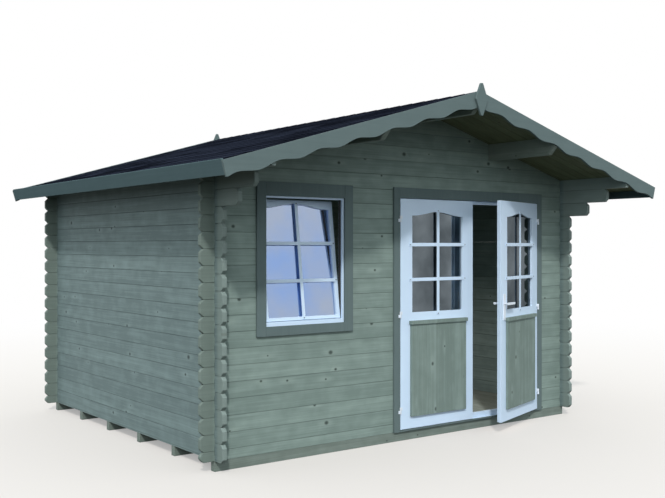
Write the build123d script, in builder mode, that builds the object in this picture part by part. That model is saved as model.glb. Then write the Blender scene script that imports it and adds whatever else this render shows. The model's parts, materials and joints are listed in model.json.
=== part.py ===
from build123d import *
import os
from math import ceil, cos, radians, sin, tan

os.makedirs("parts", exist_ok=True)

# Walls: outside sizes, log section and the notched corners
WALL_WIDTH = 3610.0
WALL_DEPTH = 2970.0
LOG_THICK = 34.0
COURSE = 114.0
FIRST_EXTRA = 12.0  # the lowest logs are this much taller than the course
SIDE_COURSES = 17  # whole logs in a side wall, under its bevelled top log
PLATE_HEIGHT = 89.0  # bevelled top log of a side wall, at its outer face
TIP_REACH = 109.0  # log tips past the wall that they cross
TIP_BEVEL = 25.0
TIP_LIMIT_SHARE = 0.27
LOWER_CORBEL_REACH = 304.0
UPPER_CORBEL_REACH = 507.0
LOG_GAP = 0.4
NOTCH_FIT = 0.3
SEAT_GAP = 0.3

# Foundation and floor
JOIST_HEIGHT = 72.0
JOIST_WIDTH = 50.0
JOIST_COUNT = 6
FLOOR_THICK = 18.0
FLOOR_GAP = 5.0

# Roof: slope, overhangs, layers and edge boards
SLOPE_DEG = 16.1
EAVES_OVERHANG = 350.0
FRONT_OVERHANG = 722.0
BACK_CLEARANCE = 20.0  # from the log tips to the back bargeboards
DECK_THICK = 18.0
SHINGLE_THICK = 6.0
RIDGE_CAP_WIDTH = 130.0
RIDGE_CAP_THICK = 4.0
EAVES_BOARD_THICK = 18.0
EAVES_BOARD_HEIGHT = 100.0
BARGE_THICK = 18.0
BARGE_DEPTH = 112.0
BARGE_UPSTAND = 12.0
WAVE_PITCH = 319.0
WAVE_SWING = 12.0
WAVE_START = 92.0
WAVE_END_SHARE = 0.5
FINIAL_HEIGHT = 237.0
FINIAL_RISE = 46.0
FINIAL_WIDTH = 124.0
FINIAL_TIP = 20.0
FINIAL_THICK = 18.0
PURLIN_THICK = 44.0
PURLIN_PLACE = 866.0  # middle of a side purlin from the ridge line
PURLIN_HEIGHT = 140.0
PURLIN_NOSE = 62.0
RIDGE_PURLIN_HEIGHT = 135.0

# Openings in the front wall
WINDOW_HOLE_WIDTH = 767.0
DOOR_HOLE_WIDTH = 1681.0
LEFT_PIER_SHARE = 0.3172  # of the wall that the openings leave, with the rest right of the door
MIDDLE_PIER_SHARE = 0.4040
SILL_LOG_COUNT = 8  # whole logs under the window
SETTLE_GAP = 47.0
FRAME_FIT = 0.5
FRAME_DEPTH = 50.0
TRIM_THICK = 18.0
INNER_TRIM_THICK = 16.0
INNER_TRIM_WIDTH = 60.0

# Window: frame, tilted sash, trim boards and handle
WINDOW_FRAME_WIDTH = 48.0
WINDOW_TRIM_SIDE = 76.0
WINDOW_TRIM_TOP = 98.0
WINDOW_TRIM_LOW = 68.0
WINDOW_TRIM_LAP = 35.0
WINDOW_TRIM_LOW_LAP = 20.0
SASH_SET_BACK = 20.0
SASH_THICK = 30.0
SASH_TILT_DEG = 7.2
SASH_PLAY = 3.0
SASH_STILE = 30.0
SASH_LOW_RAIL = 25.0
SASH_TOP_RAIL = 64.0
SASH_ARCH_RISE = 38.0
GLASS_THICK = 4.0
GLASS_DEPTH = 18.0  # from the front of the frame that holds the glass
GLASS_FIT = 0.5
WINDOW_LEVER_LENGTH = 96.0
WINDOW_LEVER_WIDTH = 16.0
WINDOW_LEVER_THICK = 9.0
WINDOW_LEVER_STAND = 26.0
WINDOW_ROSE_WIDTH = 28.0
WINDOW_ROSE_HEIGHT = 62.0
WINDOW_ROSE_THICK = 8.0

# Double door: frame, leaves and trim boards
JAMB_STEP = 37.5
HEAD_STEP = 15.0
SILL_STEP = 13.0
LEAF_GAP = 5.0
LEAF_LAP = 24.0
SILL_LAP = 37.0
LEAF_THICK = 40.0
MEETING_GAP = 6.0
DOOR_TRIM_SIDE = 60.0
DOOR_TRIM_TOP = 82.0
STILE = 122.0
TOP_RAIL = 131.0
MIDDLE_RAIL = 64.7  # from the panel's ledge up to the glass opening
LEAF_ARCH_RISE = 33.0
LEAF_REBATE_WIDTH = 12.0
LEAF_REBATE_DEPTH = 22.0
PANEL_SIDE = 98.0
PANEL_LOW = 96.0
PANEL_HEIGHT = 724.0
PANEL_THICK = 20.0
LEDGE_SIDE = 88.0
LEDGE_HEIGHT = 28.0
LEDGE_THICK = 32.0
RIGHT_LEAF_OPEN_DEG = 19.7

# Lift-off hinges: three to a leaf
HINGE_RADIUS = 7.0
HINGE_HEIGHT = 48.0
HINGE_PIN_RADIUS = 3.5
HINGE_PLAY = 0.3
HINGE_FLAP_WIDTH = 16.0
HINGE_FLAP_THICK = 4.0
HINGE_LOW = 151.0  # lowest hinge over the leaf's foot
HINGE_HIGH = 158.0  # highest hinge under the leaf's head
PIN_SIDES = 8

# Lever handle on the right leaf
PLATE_BACKSET = 58.0
PLATE_WIDTH = 38.0
PLATE_HIGH = 213.0
PLATE_THICK = 7.0
PLATE_OVER_SILL = 24.0  # plate's middle over the glass opening's lower edge
LEVER_OVER_MIDDLE = 28.0  # lever over the plate's middle
LEVER_LENGTH = 132.0
LEVER_RADIUS = 9.0
LEVER_STAND = 48.0
SPINDLE_RADIUS = 8.0
SPINDLE_PLAY = 0.3

# Levels, planes and places worked out from the sizes above
slope = radians(SLOPE_DEG)
half_width = WALL_WIDTH / 2
back_overhang = TIP_REACH + BACK_CLEARANCE + BARGE_THICK
total_depth = FRONT_OVERHANG + WALL_DEPTH + back_overhang + 2 * FINIAL_THICK
y_front = FINIAL_THICK + FRONT_OVERHANG - total_depth / 2
y_back = y_front + WALL_DEPTH
barge_front = y_front - FRONT_OVERHANG
barge_back = y_back + back_overhang
roof_front = barge_front + BARGE_THICK
roof_back = barge_back - BARGE_THICK
wall_base = JOIST_HEIGHT
first_joint = wall_base + FIRST_EXTRA
notch_width = LOG_THICK + 2 * NOTCH_FIT
notch_height = COURSE / 2 + NOTCH_FIT
tip_bevel = min(TIP_BEVEL, TIP_LIMIT_SHARE * COURSE)


def side_joint(course):
    """Level of the joint under a log of the side walls."""
    return first_joint + course * COURSE


def gable_joint(course):
    """Level of the joint over a log of the front and back walls, half a course up from the sides."""
    return first_joint + COURSE / 2 + course * COURSE


def side_log(course):
    """Lower and upper level of a side wall's log."""
    low = wall_base if course == 0 else side_joint(course)
    return low, side_joint(course + 1)


def gable_log(course):
    """Lower and upper level of a front or back wall's log."""
    low = wall_base if course == 0 else gable_joint(course - 1)
    return low, gable_joint(course)


plate_low = side_joint(SIDE_COURSES)
ridge_under = plate_low + PLATE_HEIGHT + half_width * tan(slope)
slope_length = (half_width + EAVES_OVERHANG) / cos(slope)
barge_top = DECK_THICK + SHINGLE_THICK + BARGE_UPSTAND
deck_seat = SEAT_GAP / cos(slope)
hole_top = gable_joint(SIDE_COURSES - 1)
frame_top = hole_top - SETTLE_GAP
pier_total = WALL_WIDTH - WINDOW_HOLE_WIDTH - DOOR_HOLE_WIDTH
window_left = LEFT_PIER_SHARE * pier_total - half_width
window_right = window_left + WINDOW_HOLE_WIDTH
door_left = window_right + MIDDLE_PIER_SHARE * pier_total
door_right = door_left + DOOR_HOLE_WIDTH
window_sill = gable_joint(SILL_LOG_COUNT - 1)
front_inner = y_front + LOG_THICK


def roof_point(along, out):
    """Point of the right slope in the front view: down the slope, and out from the deck's underside."""
    return along * cos(slope) + out * sin(slope), ridge_under - along * sin(slope) + out * cos(slope)


def ridge_point(out):
    """Point over the ridge line in the front view, as far out from the deck's underside as named."""
    return 0, ridge_under + out / cos(slope)


def roof_under(x):
    """Level of the deck's underside at a distance from the ridge line."""
    return ridge_under - abs(x) * tan(slope)


def front_view(y):
    """Plane seen from the front, at a depth, facing the front."""
    return Plane((0, y, 0), x_dir=(1, 0, 0), z_dir=(0, -1, 0))


def side_view(x):
    """Plane seen from the right, at a place across the width, facing right."""
    return Plane((x, 0, 0), x_dir=(0, 1, 0), z_dir=(1, 0, 0))


def write(piece, name):
    """Label a finished piece and write it as one file."""
    piece.part.label = name
    export_step(piece.part, f"parts/{name}.step")


def write_pair(right, name):
    """Write a right-hand piece and its mirror image on the left."""
    with BuildPart() as left:
        mirror(right.part, about=Plane.YZ)
    write(right, f"{name}_right")
    write(left, f"{name}_left")


def middle(low, high):
    """Middle of a span."""
    return (low + high) / 2


# Foundation joists lie across the cabin, level with the outer wall faces
with BuildPart() as foundation_joists:
    joist_step = (WALL_DEPTH - JOIST_WIDTH) / (JOIST_COUNT - 1)
    with BuildSketch(Plane.XY):
        for joist in range(JOIST_COUNT):
            with Locations((0, y_front + JOIST_WIDTH / 2 + joist * joist_step)):
                Rectangle(WALL_WIDTH, JOIST_WIDTH)
    extrude(amount=JOIST_HEIGHT)
write(foundation_joists, "foundation_joists")

with BuildPart() as floor:
    with BuildSketch(Plane.XY.offset(JOIST_HEIGHT)):
        with Locations((0, middle(y_front, y_back))):
            floor_inset = 2 * (LOG_THICK + FLOOR_GAP)
            Rectangle(WALL_WIDTH - floor_inset, WALL_DEPTH - floor_inset)
        with Locations((middle(door_left, door_right), y_front)):
            Rectangle(DOOR_HOLE_WIDTH, 2 * (FRAME_DEPTH + SEAT_GAP), mode=Mode.SUBTRACT)
    extrude(amount=FLOOR_THICK)
write(floor, "floor")

# Side walls: logs notched over and under where the front and back logs cross them
crossings_y = (y_front + LOG_THICK / 2, y_back - LOG_THICK / 2)
corbels = {SIDE_COURSES - 2: LOWER_CORBEL_REACH, SIDE_COURSES - 1: UPPER_CORBEL_REACH}
with BuildPart() as wall_right:
    with BuildSketch(side_view(half_width - LOG_THICK)) as side_logs:
        for course in range(SIDE_COURSES):
            low, high = side_log(course)
            start = y_front - corbels.get(course, TIP_REACH)
            end = y_back + TIP_REACH
            with Locations((middle(start, end), middle(low, high))):
                Rectangle(end - start, high - low - LOG_GAP)
        chamfer(side_logs.vertices(), length=tip_bevel)
        plate_high = roof_under(half_width - LOG_THICK)
        with Locations((middle(roof_front, roof_back), middle(plate_low, plate_high))):
            Rectangle(roof_back - roof_front, plate_high - plate_low - LOG_GAP)
        with Locations(*[(y, side_joint(k + 1)) for y in crossings_y for k in range(SIDE_COURSES)]):
            Rectangle(notch_width, notch_height, mode=Mode.SUBTRACT)
        base_notch = FIRST_EXTRA + notch_height / 2
        with Locations(*[(y, wall_base + base_notch / 2) for y in crossings_y]):
            Rectangle(notch_width, base_notch, mode=Mode.SUBTRACT)
    extrude(amount=LOG_THICK)
    deck_plane = Plane((0, 0, ridge_under - SEAT_GAP), x_dir=(0, 1, 0), z_dir=(sin(slope), 0, cos(slope)))
    split(bisect_by=deck_plane, keep=Keep.BOTTOM)
write_pair(wall_right, "wall")

# Front and back walls: logs half a course off, cut to the span that each piece fills
crossings_x = (LOG_THICK / 2 - half_width, half_width - LOG_THICK / 2)
full_span = (-half_width - TIP_REACH, half_width + TIP_REACH)


def under_roof(reach, low):
    """Keep what lies under the deck in the front view, within a reach of the middle and over a level."""
    with BuildLine() as outline:
        Polyline(
            (-reach, low),
            (reach, low),
            (reach, roof_under(reach) - deck_seat),
            (0, ridge_under - deck_seat),
            (-reach, roof_under(reach) - deck_seat),
            close=True,
        )
    make_face(outline.edges(), mode=Mode.INTERSECT)


def crossing_logs(inner_face, first, last, span):
    """Logs of a front or back wall, from one course to another, over part of the width."""
    with BuildPart() as logs:
        with BuildSketch(front_view(inner_face)) as rows:
            for course in range(first, last + 1):
                low, high = gable_log(course)
                with Locations((0, middle(low, high))):
                    Rectangle(WALL_WIDTH + 2 * TIP_REACH, high - low - LOG_GAP)
            chamfer(rows.vertices(), length=tip_bevel)
            joints = range(first - 1, last + 1)
            with Locations(*[(x, gable_joint(k)) for x in crossings_x for k in joints if k >= 0]):
                Rectangle(notch_width, notch_height, mode=Mode.SUBTRACT)
            with Locations((middle(*span), middle(wall_base, ridge_under))):
                Rectangle(span[1] - span[0], ridge_under - wall_base, mode=Mode.INTERSECT)
            under_roof(half_width + TIP_REACH, wall_base)
        extrude(amount=LOG_THICK)
    return logs


last_cut = SIDE_COURSES - 1
front_pieces = {
    "front_wall_sill": (0, SILL_LOG_COUNT - 1, (full_span[0], door_left)),
    "front_wall_left": (SILL_LOG_COUNT, last_cut, (full_span[0], window_left)),
    "front_wall_middle": (SILL_LOG_COUNT, last_cut, (window_right, door_left)),
    "front_wall_right": (0, last_cut, (door_right, full_span[1])),
    "front_wall_head": (SIDE_COURSES, SIDE_COURSES, full_span),
}
for name, (first, last, span) in front_pieces.items():
    write(crossing_logs(front_inner, first, last, span), name)
write(crossing_logs(y_back, 0, SIDE_COURSES, full_span), "back_wall")

# Gables: logs under the roof slope, cut round the purlins
purlin_inner = PURLIN_PLACE - PURLIN_THICK / 2
purlin_low = roof_under(purlin_inner) - PURLIN_HEIGHT
ridge_purlin_low = ridge_under - RIDGE_PURLIN_HEIGHT
gable_low = gable_joint(SIDE_COURSES)


def gable_logs(inner_face):
    """Logs of one gable between the side walls' top logs and the roof."""
    with BuildPart() as logs:
        with BuildSketch(front_view(inner_face)):
            for course in range(ceil((ridge_under - gable_low) / COURSE)):
                with Locations((0, gable_low + (course + 1 / 2) * COURSE)):
                    Rectangle(WALL_WIDTH, COURSE - LOG_GAP)
            under_roof(half_width - LOG_THICK - NOTCH_FIT, gable_low)
            cut_width = PURLIN_THICK + 2 * NOTCH_FIT
            with Locations(*[(x, purlin_low - NOTCH_FIT + COURSE) for x in (-PURLIN_PLACE, PURLIN_PLACE)]):
                Rectangle(cut_width, 2 * COURSE, mode=Mode.SUBTRACT)
            with Locations((0, ridge_purlin_low - NOTCH_FIT + COURSE)):
                Rectangle(cut_width, 2 * COURSE, mode=Mode.SUBTRACT)
        extrude(amount=LOG_THICK)
    return logs


write(gable_logs(front_inner), "front_gable")
write(gable_logs(y_back), "back_gable")


def purlin_profile(low, high):
    """Side view of a purlin, its lower front corner cut back behind the bargeboards."""
    with BuildLine() as outline:
        Polyline(
            (roof_front + PURLIN_NOSE, low),
            (roof_back, low),
            (roof_back, high),
            (roof_front, high),
            (roof_front, low + PURLIN_NOSE),
            close=True,
        )
    make_face(outline.edges())


# Purlins carry the deck from gable to gable, their tops bevelled to the slope
with BuildPart() as purlin_right:
    with BuildSketch(side_view(purlin_inner)):
        purlin_profile(purlin_low, roof_under(purlin_inner))
    extrude(amount=PURLIN_THICK)
    split(bisect_by=deck_plane, keep=Keep.BOTTOM)
write_pair(purlin_right, "purlin")

with BuildPart() as ridge_purlin:
    with BuildSketch(side_view(-PURLIN_THICK / 2)):
        purlin_profile(ridge_purlin_low, ridge_under)
    extrude(amount=PURLIN_THICK)
    split(bisect_by=deck_plane, keep=Keep.BOTTOM)
    left_deck_plane = Plane(
        (0, 0, ridge_under - SEAT_GAP), x_dir=(0, 1, 0), z_dir=(-sin(slope), 0, cos(slope))
    )
    split(bisect_by=left_deck_plane, keep=Keep.BOTTOM)
write(ridge_purlin, "ridge_purlin")


def slope_layer(low, high, length):
    """One layer of the right slope, from the ridge line down to a length."""
    with BuildPart() as layer:
        with BuildSketch(front_view(roof_back)):
            with BuildLine():
                Polyline(
                    ridge_point(low),
                    roof_point(length, low),
                    roof_point(length, high),
                    ridge_point(high),
                    close=True,
                )
            make_face()
        extrude(amount=roof_back - roof_front)
    return layer


# Roof deck, shingle layer and the bent strip of shingles over the ridge
deck_top = DECK_THICK
shingle_top = DECK_THICK + SHINGLE_THICK
deck_length = slope_length - EAVES_BOARD_THICK
write_pair(slope_layer(0, deck_top, deck_length), "roof_deck")
write_pair(slope_layer(deck_top, shingle_top, deck_length), "shingles")

with BuildPart() as ridge_cap:
    with BuildSketch(front_view(roof_back)):
        with BuildLine():
            cap_top = shingle_top + RIDGE_CAP_THICK
            Polyline(
                ridge_point(shingle_top),
                roof_point(RIDGE_CAP_WIDTH, shingle_top),
                roof_point(RIDGE_CAP_WIDTH, cap_top),
                ridge_point(cap_top),
                close=True,
            )
        make_face()
        mirror(about=Plane.YZ)
    extrude(amount=roof_back - roof_front)
write(ridge_cap, "ridge_cap")

# Eaves boards close the lower end of deck and shingles, square to the slope, level with the bargeboards
with BuildPart() as eaves_board:
    with BuildSketch(front_view(roof_back)):
        with BuildLine():
            eaves_low = barge_top - EAVES_BOARD_HEIGHT
            Polyline(
                roof_point(deck_length, eaves_low),
                roof_point(slope_length, eaves_low),
                roof_point(slope_length, barge_top),
                roof_point(deck_length, barge_top),
                close=True,
            )
        make_face()
    extrude(amount=roof_back - roof_front)
write_pair(eaves_board, "eaves_board")


def bargeboard(back_face):
    """Right-hand bargeboard with its waved lower edge."""
    half_waves = round(2 * (slope_length - WAVE_START) / WAVE_PITCH - WAVE_END_SHARE)
    half_pitch = (slope_length - WAVE_START) / (half_waves + WAVE_END_SHARE)
    mean = barge_top - BARGE_DEPTH
    wave = [ridge_point(mean)]
    for turn in range(half_waves + 1):
        swing = -WAVE_SWING if turn % 2 == 0 else WAVE_SWING
        wave.append(roof_point(WAVE_START + turn * half_pitch, mean + swing))
    wave.append(roof_point(slope_length, mean))
    with BuildPart() as board:
        with BuildSketch(front_view(back_face)):
            with BuildLine():
                Spline(*wave, tangents=[(cos(slope), -sin(slope))] * len(wave))
                Polyline(wave[-1], roof_point(slope_length, barge_top), ridge_point(barge_top), wave[0])
            make_face()
        extrude(amount=BARGE_THICK)
    return board


write_pair(bargeboard(roof_front), "bargeboard_front")
write_pair(bargeboard(barge_back), "bargeboard_back")

# Diamond finials where the bargeboards meet, front and back
finial_top = ridge_point(barge_top)[1] + FINIAL_RISE
with BuildPart() as finials:
    for back_face in (barge_front, barge_back + FINIAL_THICK):
        with BuildSketch(front_view(back_face)):
            with BuildLine():
                Polyline(
                    (-FINIAL_TIP / 2, finial_top),
                    (-FINIAL_WIDTH / 2, finial_top - FINIAL_HEIGHT / 2),
                    (-FINIAL_TIP / 2, finial_top - FINIAL_HEIGHT),
                    (FINIAL_TIP / 2, finial_top - FINIAL_HEIGHT),
                    (FINIAL_WIDTH / 2, finial_top - FINIAL_HEIGHT / 2),
                    (FINIAL_TIP / 2, finial_top),
                    close=True,
                )
            make_face()
        extrude(amount=FINIAL_THICK)
write(finials, "finials")


def board(x_span, z_span):
    """Rectangle in the front view between two spans."""
    with Locations((middle(*x_span), middle(*z_span))):
        Rectangle(x_span[1] - x_span[0], z_span[1] - z_span[0])


# Window frame: four members in the wall's hole, with a settling gap above
frame_left = window_left + FRAME_FIT
frame_right = window_right - FRAME_FIT
frame_low = window_sill + FRAME_FIT
light_left = frame_left + WINDOW_FRAME_WIDTH
light_right = frame_right - WINDOW_FRAME_WIDTH
light_low = frame_low + WINDOW_FRAME_WIDTH
light_top = frame_top - WINDOW_FRAME_WIDTH
frame_back = y_front + FRAME_DEPTH
with BuildPart() as window_frame:
    with BuildSketch(front_view(frame_back)):
        board((frame_left, light_left), (frame_low, frame_top))
        board((light_right, frame_right), (frame_low, frame_top))
        board((light_left + SEAT_GAP, light_right - SEAT_GAP), (frame_low, light_low))
        board((light_left + SEAT_GAP, light_right - SEAT_GAP), (light_top, frame_top))
    extrude(amount=FRAME_DEPTH)
write(window_frame, "window_frame")


def trim_boards(inner, outer, low_board):
    """Boards round an opening: two full-height sides, then a head and perhaps a foot between them."""
    (left, right), (low, top) = inner
    (far_left, far_right), (far_low, far_top) = outer
    board((far_left, left), (far_low, far_top))
    board((right, far_right), (far_low, far_top))
    board((left + SEAT_GAP, right - SEAT_GAP), (top, far_top))
    if low_board:
        board((left + SEAT_GAP, right - SEAT_GAP), (far_low, low))


# Trim boards cover the joint between window frame and logs, outside and in
with BuildPart() as window_trim:
    trim_left = frame_left + WINDOW_TRIM_LAP
    trim_right = frame_right - WINDOW_TRIM_LAP
    trim_low = frame_low + WINDOW_TRIM_LOW_LAP
    trim_top = frame_top - WINDOW_TRIM_LAP
    with BuildSketch(front_view(y_front)):
        trim_boards(
            ((trim_left, trim_right), (trim_low, trim_top)),
            (
                (trim_left - WINDOW_TRIM_SIDE, trim_right + WINDOW_TRIM_SIDE),
                (trim_low - WINDOW_TRIM_LOW, trim_top + WINDOW_TRIM_TOP),
            ),
            True,
        )
    extrude(amount=TRIM_THICK)
    with BuildSketch(front_view(front_inner + INNER_TRIM_THICK)):
        trim_boards(
            ((window_left, window_right), (window_sill, hole_top)),
            (
                (window_left - INNER_TRIM_WIDTH, window_right + INNER_TRIM_WIDTH),
                (window_sill - INNER_TRIM_WIDTH, hole_top + INNER_TRIM_WIDTH),
            ),
            True,
        )
    extrude(amount=INNER_TRIM_THICK)
write(window_trim, "window_trim")


def arched_opening(left, right, low, top, rise, inset):
    """Outline with a flat foot and a head that swells up to its middle, drawn in by an inset."""
    sides = (left + inset, right - inset)
    foot, springing = low + inset, top - inset
    level = (1, 0)
    with BuildLine() as outline:
        Polyline((sides[0], springing), (sides[0], foot), (sides[1], foot), (sides[1], springing))
        crown = (middle(left, right), springing + rise)
        Spline((sides[0], springing), crown, (sides[1], springing), tangents=[level, level, level])
    make_face(outline.edges())


# Sash: hung at its foot and standing open, leaning into the room
tilt = radians(SASH_TILT_DEG)
sash_height = light_top - light_low - SASH_PLAY
sash_half = middle(-light_left, light_right) - SASH_PLAY
sash_foot = light_low + SEAT_GAP + SASH_THICK * sin(tilt)
sash_plane = Plane(
    (middle(light_left, light_right), y_front + SASH_SET_BACK, sash_foot),
    x_dir=(1, 0, 0),
    z_dir=(0, -cos(tilt), sin(tilt)),
)
sash_light = (SASH_STILE - sash_half, sash_half - SASH_STILE, SASH_LOW_RAIL)
sash_arch = sash_height - SASH_TOP_RAIL
with BuildPart() as window_sash:
    with BuildSketch(sash_plane.offset(-SASH_THICK)):
        with Locations((0, sash_height / 2)):
            Rectangle(2 * sash_half, sash_height)
    extrude(amount=SASH_THICK)
    with BuildSketch(sash_plane.offset(-SASH_THICK)):
        arched_opening(*sash_light, sash_arch, SASH_ARCH_RISE, 0)
    extrude(amount=SASH_THICK, mode=Mode.SUBTRACT)
write(window_sash, "window_sash")

with BuildPart() as window_glass:
    with BuildSketch(sash_plane.offset(-GLASS_DEPTH - GLASS_THICK)):
        arched_opening(*sash_light, sash_arch, SASH_ARCH_RISE, GLASS_FIT)
    extrude(amount=GLASS_THICK)
write(window_glass, "window_glass")

with BuildPart() as window_handle:
    rose_plane = sash_plane.offset(-SASH_THICK - WINDOW_ROSE_THICK)
    rose_place = (sash_half - SASH_STILE / 2, sash_height / 2)
    with BuildSketch(rose_plane):
        with Locations(rose_place):
            Rectangle(WINDOW_ROSE_WIDTH, WINDOW_ROSE_HEIGHT)
    extrude(amount=WINDOW_ROSE_THICK)
    with BuildSketch(rose_plane):
        with Locations(rose_place):
            Circle(WINDOW_LEVER_WIDTH / 2)
    extrude(amount=-WINDOW_LEVER_STAND)
    with BuildSketch(rose_plane.offset(-WINDOW_LEVER_STAND)):
        with Locations((rose_place[0] - WINDOW_LEVER_LENGTH / 2 + WINDOW_LEVER_WIDTH / 2, rose_place[1])):
            Rectangle(WINDOW_LEVER_LENGTH, WINDOW_LEVER_WIDTH)
    extrude(amount=-WINDOW_LEVER_THICK)
write(window_handle, "window_handle")

# Door frame: stepped jambs and head, and a low sill that the leaves close against
frame_left = door_left + FRAME_FIT
frame_right = door_right - FRAME_FIT
step_left = frame_left + JAMB_STEP
step_right = frame_right - JAMB_STEP
step_top = frame_top - HEAD_STEP
step_low = wall_base + SILL_STEP
leaf_face = y_front - TRIM_THICK
leaf_left = step_left + LEAF_GAP
leaf_right = step_right - LEAF_GAP
leaf_top = step_top - LEAF_GAP
leaf_low = step_low + LEAF_GAP
leaf_height = leaf_top - leaf_low
leaf_width = (leaf_right - leaf_left - MEETING_GAP) / 2
stop_face = leaf_face + LEAF_THICK + LEAF_GAP
lip_left = leaf_left + LEAF_LAP
lip_right = leaf_right - LEAF_LAP
lip_top = leaf_top - LEAF_LAP
lip_low = leaf_low + SILL_LAP
with BuildPart() as door_frame:
    with BuildSketch(front_view(frame_back)):
        board((frame_left, lip_left), (wall_base, frame_top))
        board((lip_right, frame_right), (wall_base, frame_top))
        board((lip_left + SEAT_GAP, lip_right - SEAT_GAP), (lip_top, frame_top))
        board((lip_left + SEAT_GAP, lip_right - SEAT_GAP), (wall_base, lip_low))
    extrude(amount=FRAME_DEPTH)
    with BuildSketch(front_view(stop_face)):
        board((step_left, step_right), (step_low, step_top))
    extrude(amount=stop_face - y_front, mode=Mode.SUBTRACT)
write(door_frame, "door_frame")

# Trim boards round the door, outside and in, with a strip under the leaves
with BuildPart() as door_trim:
    with BuildSketch(front_view(y_front)):
        trim_boards(
            ((step_left, step_right), (wall_base, step_top)),
            (
                (step_left - DOOR_TRIM_SIDE, step_right + DOOR_TRIM_SIDE),
                (wall_base, step_top + DOOR_TRIM_TOP),
            ),
            False,
        )
        board((step_left + SEAT_GAP, step_right - SEAT_GAP), (wall_base, step_low))
    extrude(amount=TRIM_THICK)
    with BuildSketch(front_view(front_inner + INNER_TRIM_THICK)):
        inner_low = JOIST_HEIGHT + FLOOR_THICK + SEAT_GAP
        trim_boards(
            ((door_left, door_right), (inner_low, hole_top)),
            (
                (door_left - INNER_TRIM_WIDTH, door_right + INNER_TRIM_WIDTH),
                (inner_low, hole_top + INNER_TRIM_WIDTH),
            ),
            False,
        )
    extrude(amount=INNER_TRIM_THICK)
write(door_trim, "door_trim")

# Hinge lines stand just clear of the trim's face, over the gap beside each leaf
hinge_stand = HINGE_RADIUS + HINGE_PLAY
hinge_y = leaf_face - hinge_stand
hinge_in = HINGE_RADIUS
knuckle = HINGE_HEIGHT / 2
hinge_top_place = leaf_height - HINGE_HIGH
hinge_places = (HINGE_LOW, middle(HINGE_LOW, hinge_top_place), hinge_top_place)


class Leaf:
    """One leaf's own frame: its hinge line, its hand and how far it stands open."""

    def __init__(self, edge, hand, open_deg):
        self.hand = hand
        self.axis_x = edge - hand * hinge_in
        turn = hand * -radians(open_deg)
        along = (cos(turn), sin(turn), 0)
        self.face = Plane((self.axis_x, hinge_y, leaf_low), x_dir=along, z_dir=(sin(turn), -cos(turn), 0))

    def plane(self, depth):
        """Plane parallel to the leaf, a depth behind its outer face."""
        return self.face.offset(-hinge_stand - depth)

    def across(self, place):
        """Place across the leaf, measured from its hinge edge."""
        return self.hand * (hinge_in + place)


left_leaf = Leaf(leaf_left, 1, 0)
right_leaf = Leaf(leaf_right, -1, RIGHT_LEAF_OPEN_DEG)


def spread(leaf, first, last):
    """Two places across a leaf, put in order from left to right."""
    return tuple(sorted((leaf.across(first), leaf.across(last))))


# Levels over a leaf's foot: the ledge on its panel, then the glass opening's lower edge
ledge_low = PANEL_LOW + PANEL_HEIGHT + SEAT_GAP
ledge_top = ledge_low + LEDGE_HEIGHT
glass_sill = ledge_top + MIDDLE_RAIL


def leaf_light(leaf, inset):
    """Outline of a leaf's glass opening, drawn in by an inset."""
    left, right = spread(leaf, STILE, leaf_width - STILE)
    arched_opening(left, right, glass_sill, leaf_height - TOP_RAIL, LEAF_ARCH_RISE, inset)


spindle_place = leaf_width - PLATE_BACKSET
plate_level = glass_sill + PLATE_OVER_SILL
spindle_level = plate_level + LEVER_OVER_MIDDLE


def door_leaf(leaf, locked):
    """Leaf with its arched light; the one with the lock has a stepped free edge and a spindle hole."""
    with BuildPart() as blank:
        with BuildSketch(leaf.plane(LEAF_THICK)):
            board(spread(leaf, 0, leaf_width), (0, leaf_height))
        extrude(amount=LEAF_THICK)
        with BuildSketch(leaf.plane(LEAF_THICK)):
            leaf_light(leaf, 0)
        extrude(amount=LEAF_THICK, mode=Mode.SUBTRACT)
        if locked:
            with BuildSketch(leaf.plane(LEAF_THICK)):
                board(spread(leaf, leaf_width - LEAF_REBATE_WIDTH, leaf_width), (0, leaf_height))
            extrude(amount=LEAF_REBATE_DEPTH, mode=Mode.SUBTRACT)
            with BuildSketch(leaf.plane(LEAF_THICK)):
                with Locations((leaf.across(spindle_place), spindle_level)):
                    Circle(SPINDLE_RADIUS + SPINDLE_PLAY)
            extrude(amount=LEAF_THICK, mode=Mode.SUBTRACT)
    return blank


def leaf_glass(leaf):
    """Sheet of glass in a leaf's light."""
    with BuildPart() as sheet:
        with BuildSketch(leaf.plane(GLASS_DEPTH + GLASS_THICK)):
            leaf_light(leaf, GLASS_FIT)
        extrude(amount=GLASS_THICK)
    return sheet


def leaf_panel(leaf):
    """Boarded panel planted on a leaf's lower half, under a ledge that sheds rain."""
    with BuildPart() as panel:
        with BuildSketch(leaf.plane(0)):
            panel_span = spread(leaf, PANEL_SIDE, leaf_width - PANEL_SIDE)
            board(panel_span, (PANEL_LOW, PANEL_LOW + PANEL_HEIGHT))
        extrude(amount=PANEL_THICK)
        with BuildSketch(leaf.plane(0)):
            ledge_span = spread(leaf, LEDGE_SIDE, leaf_width - LEDGE_SIDE)
            board(ledge_span, (ledge_low, ledge_top))
        extrude(amount=LEDGE_THICK)
    return panel


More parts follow.
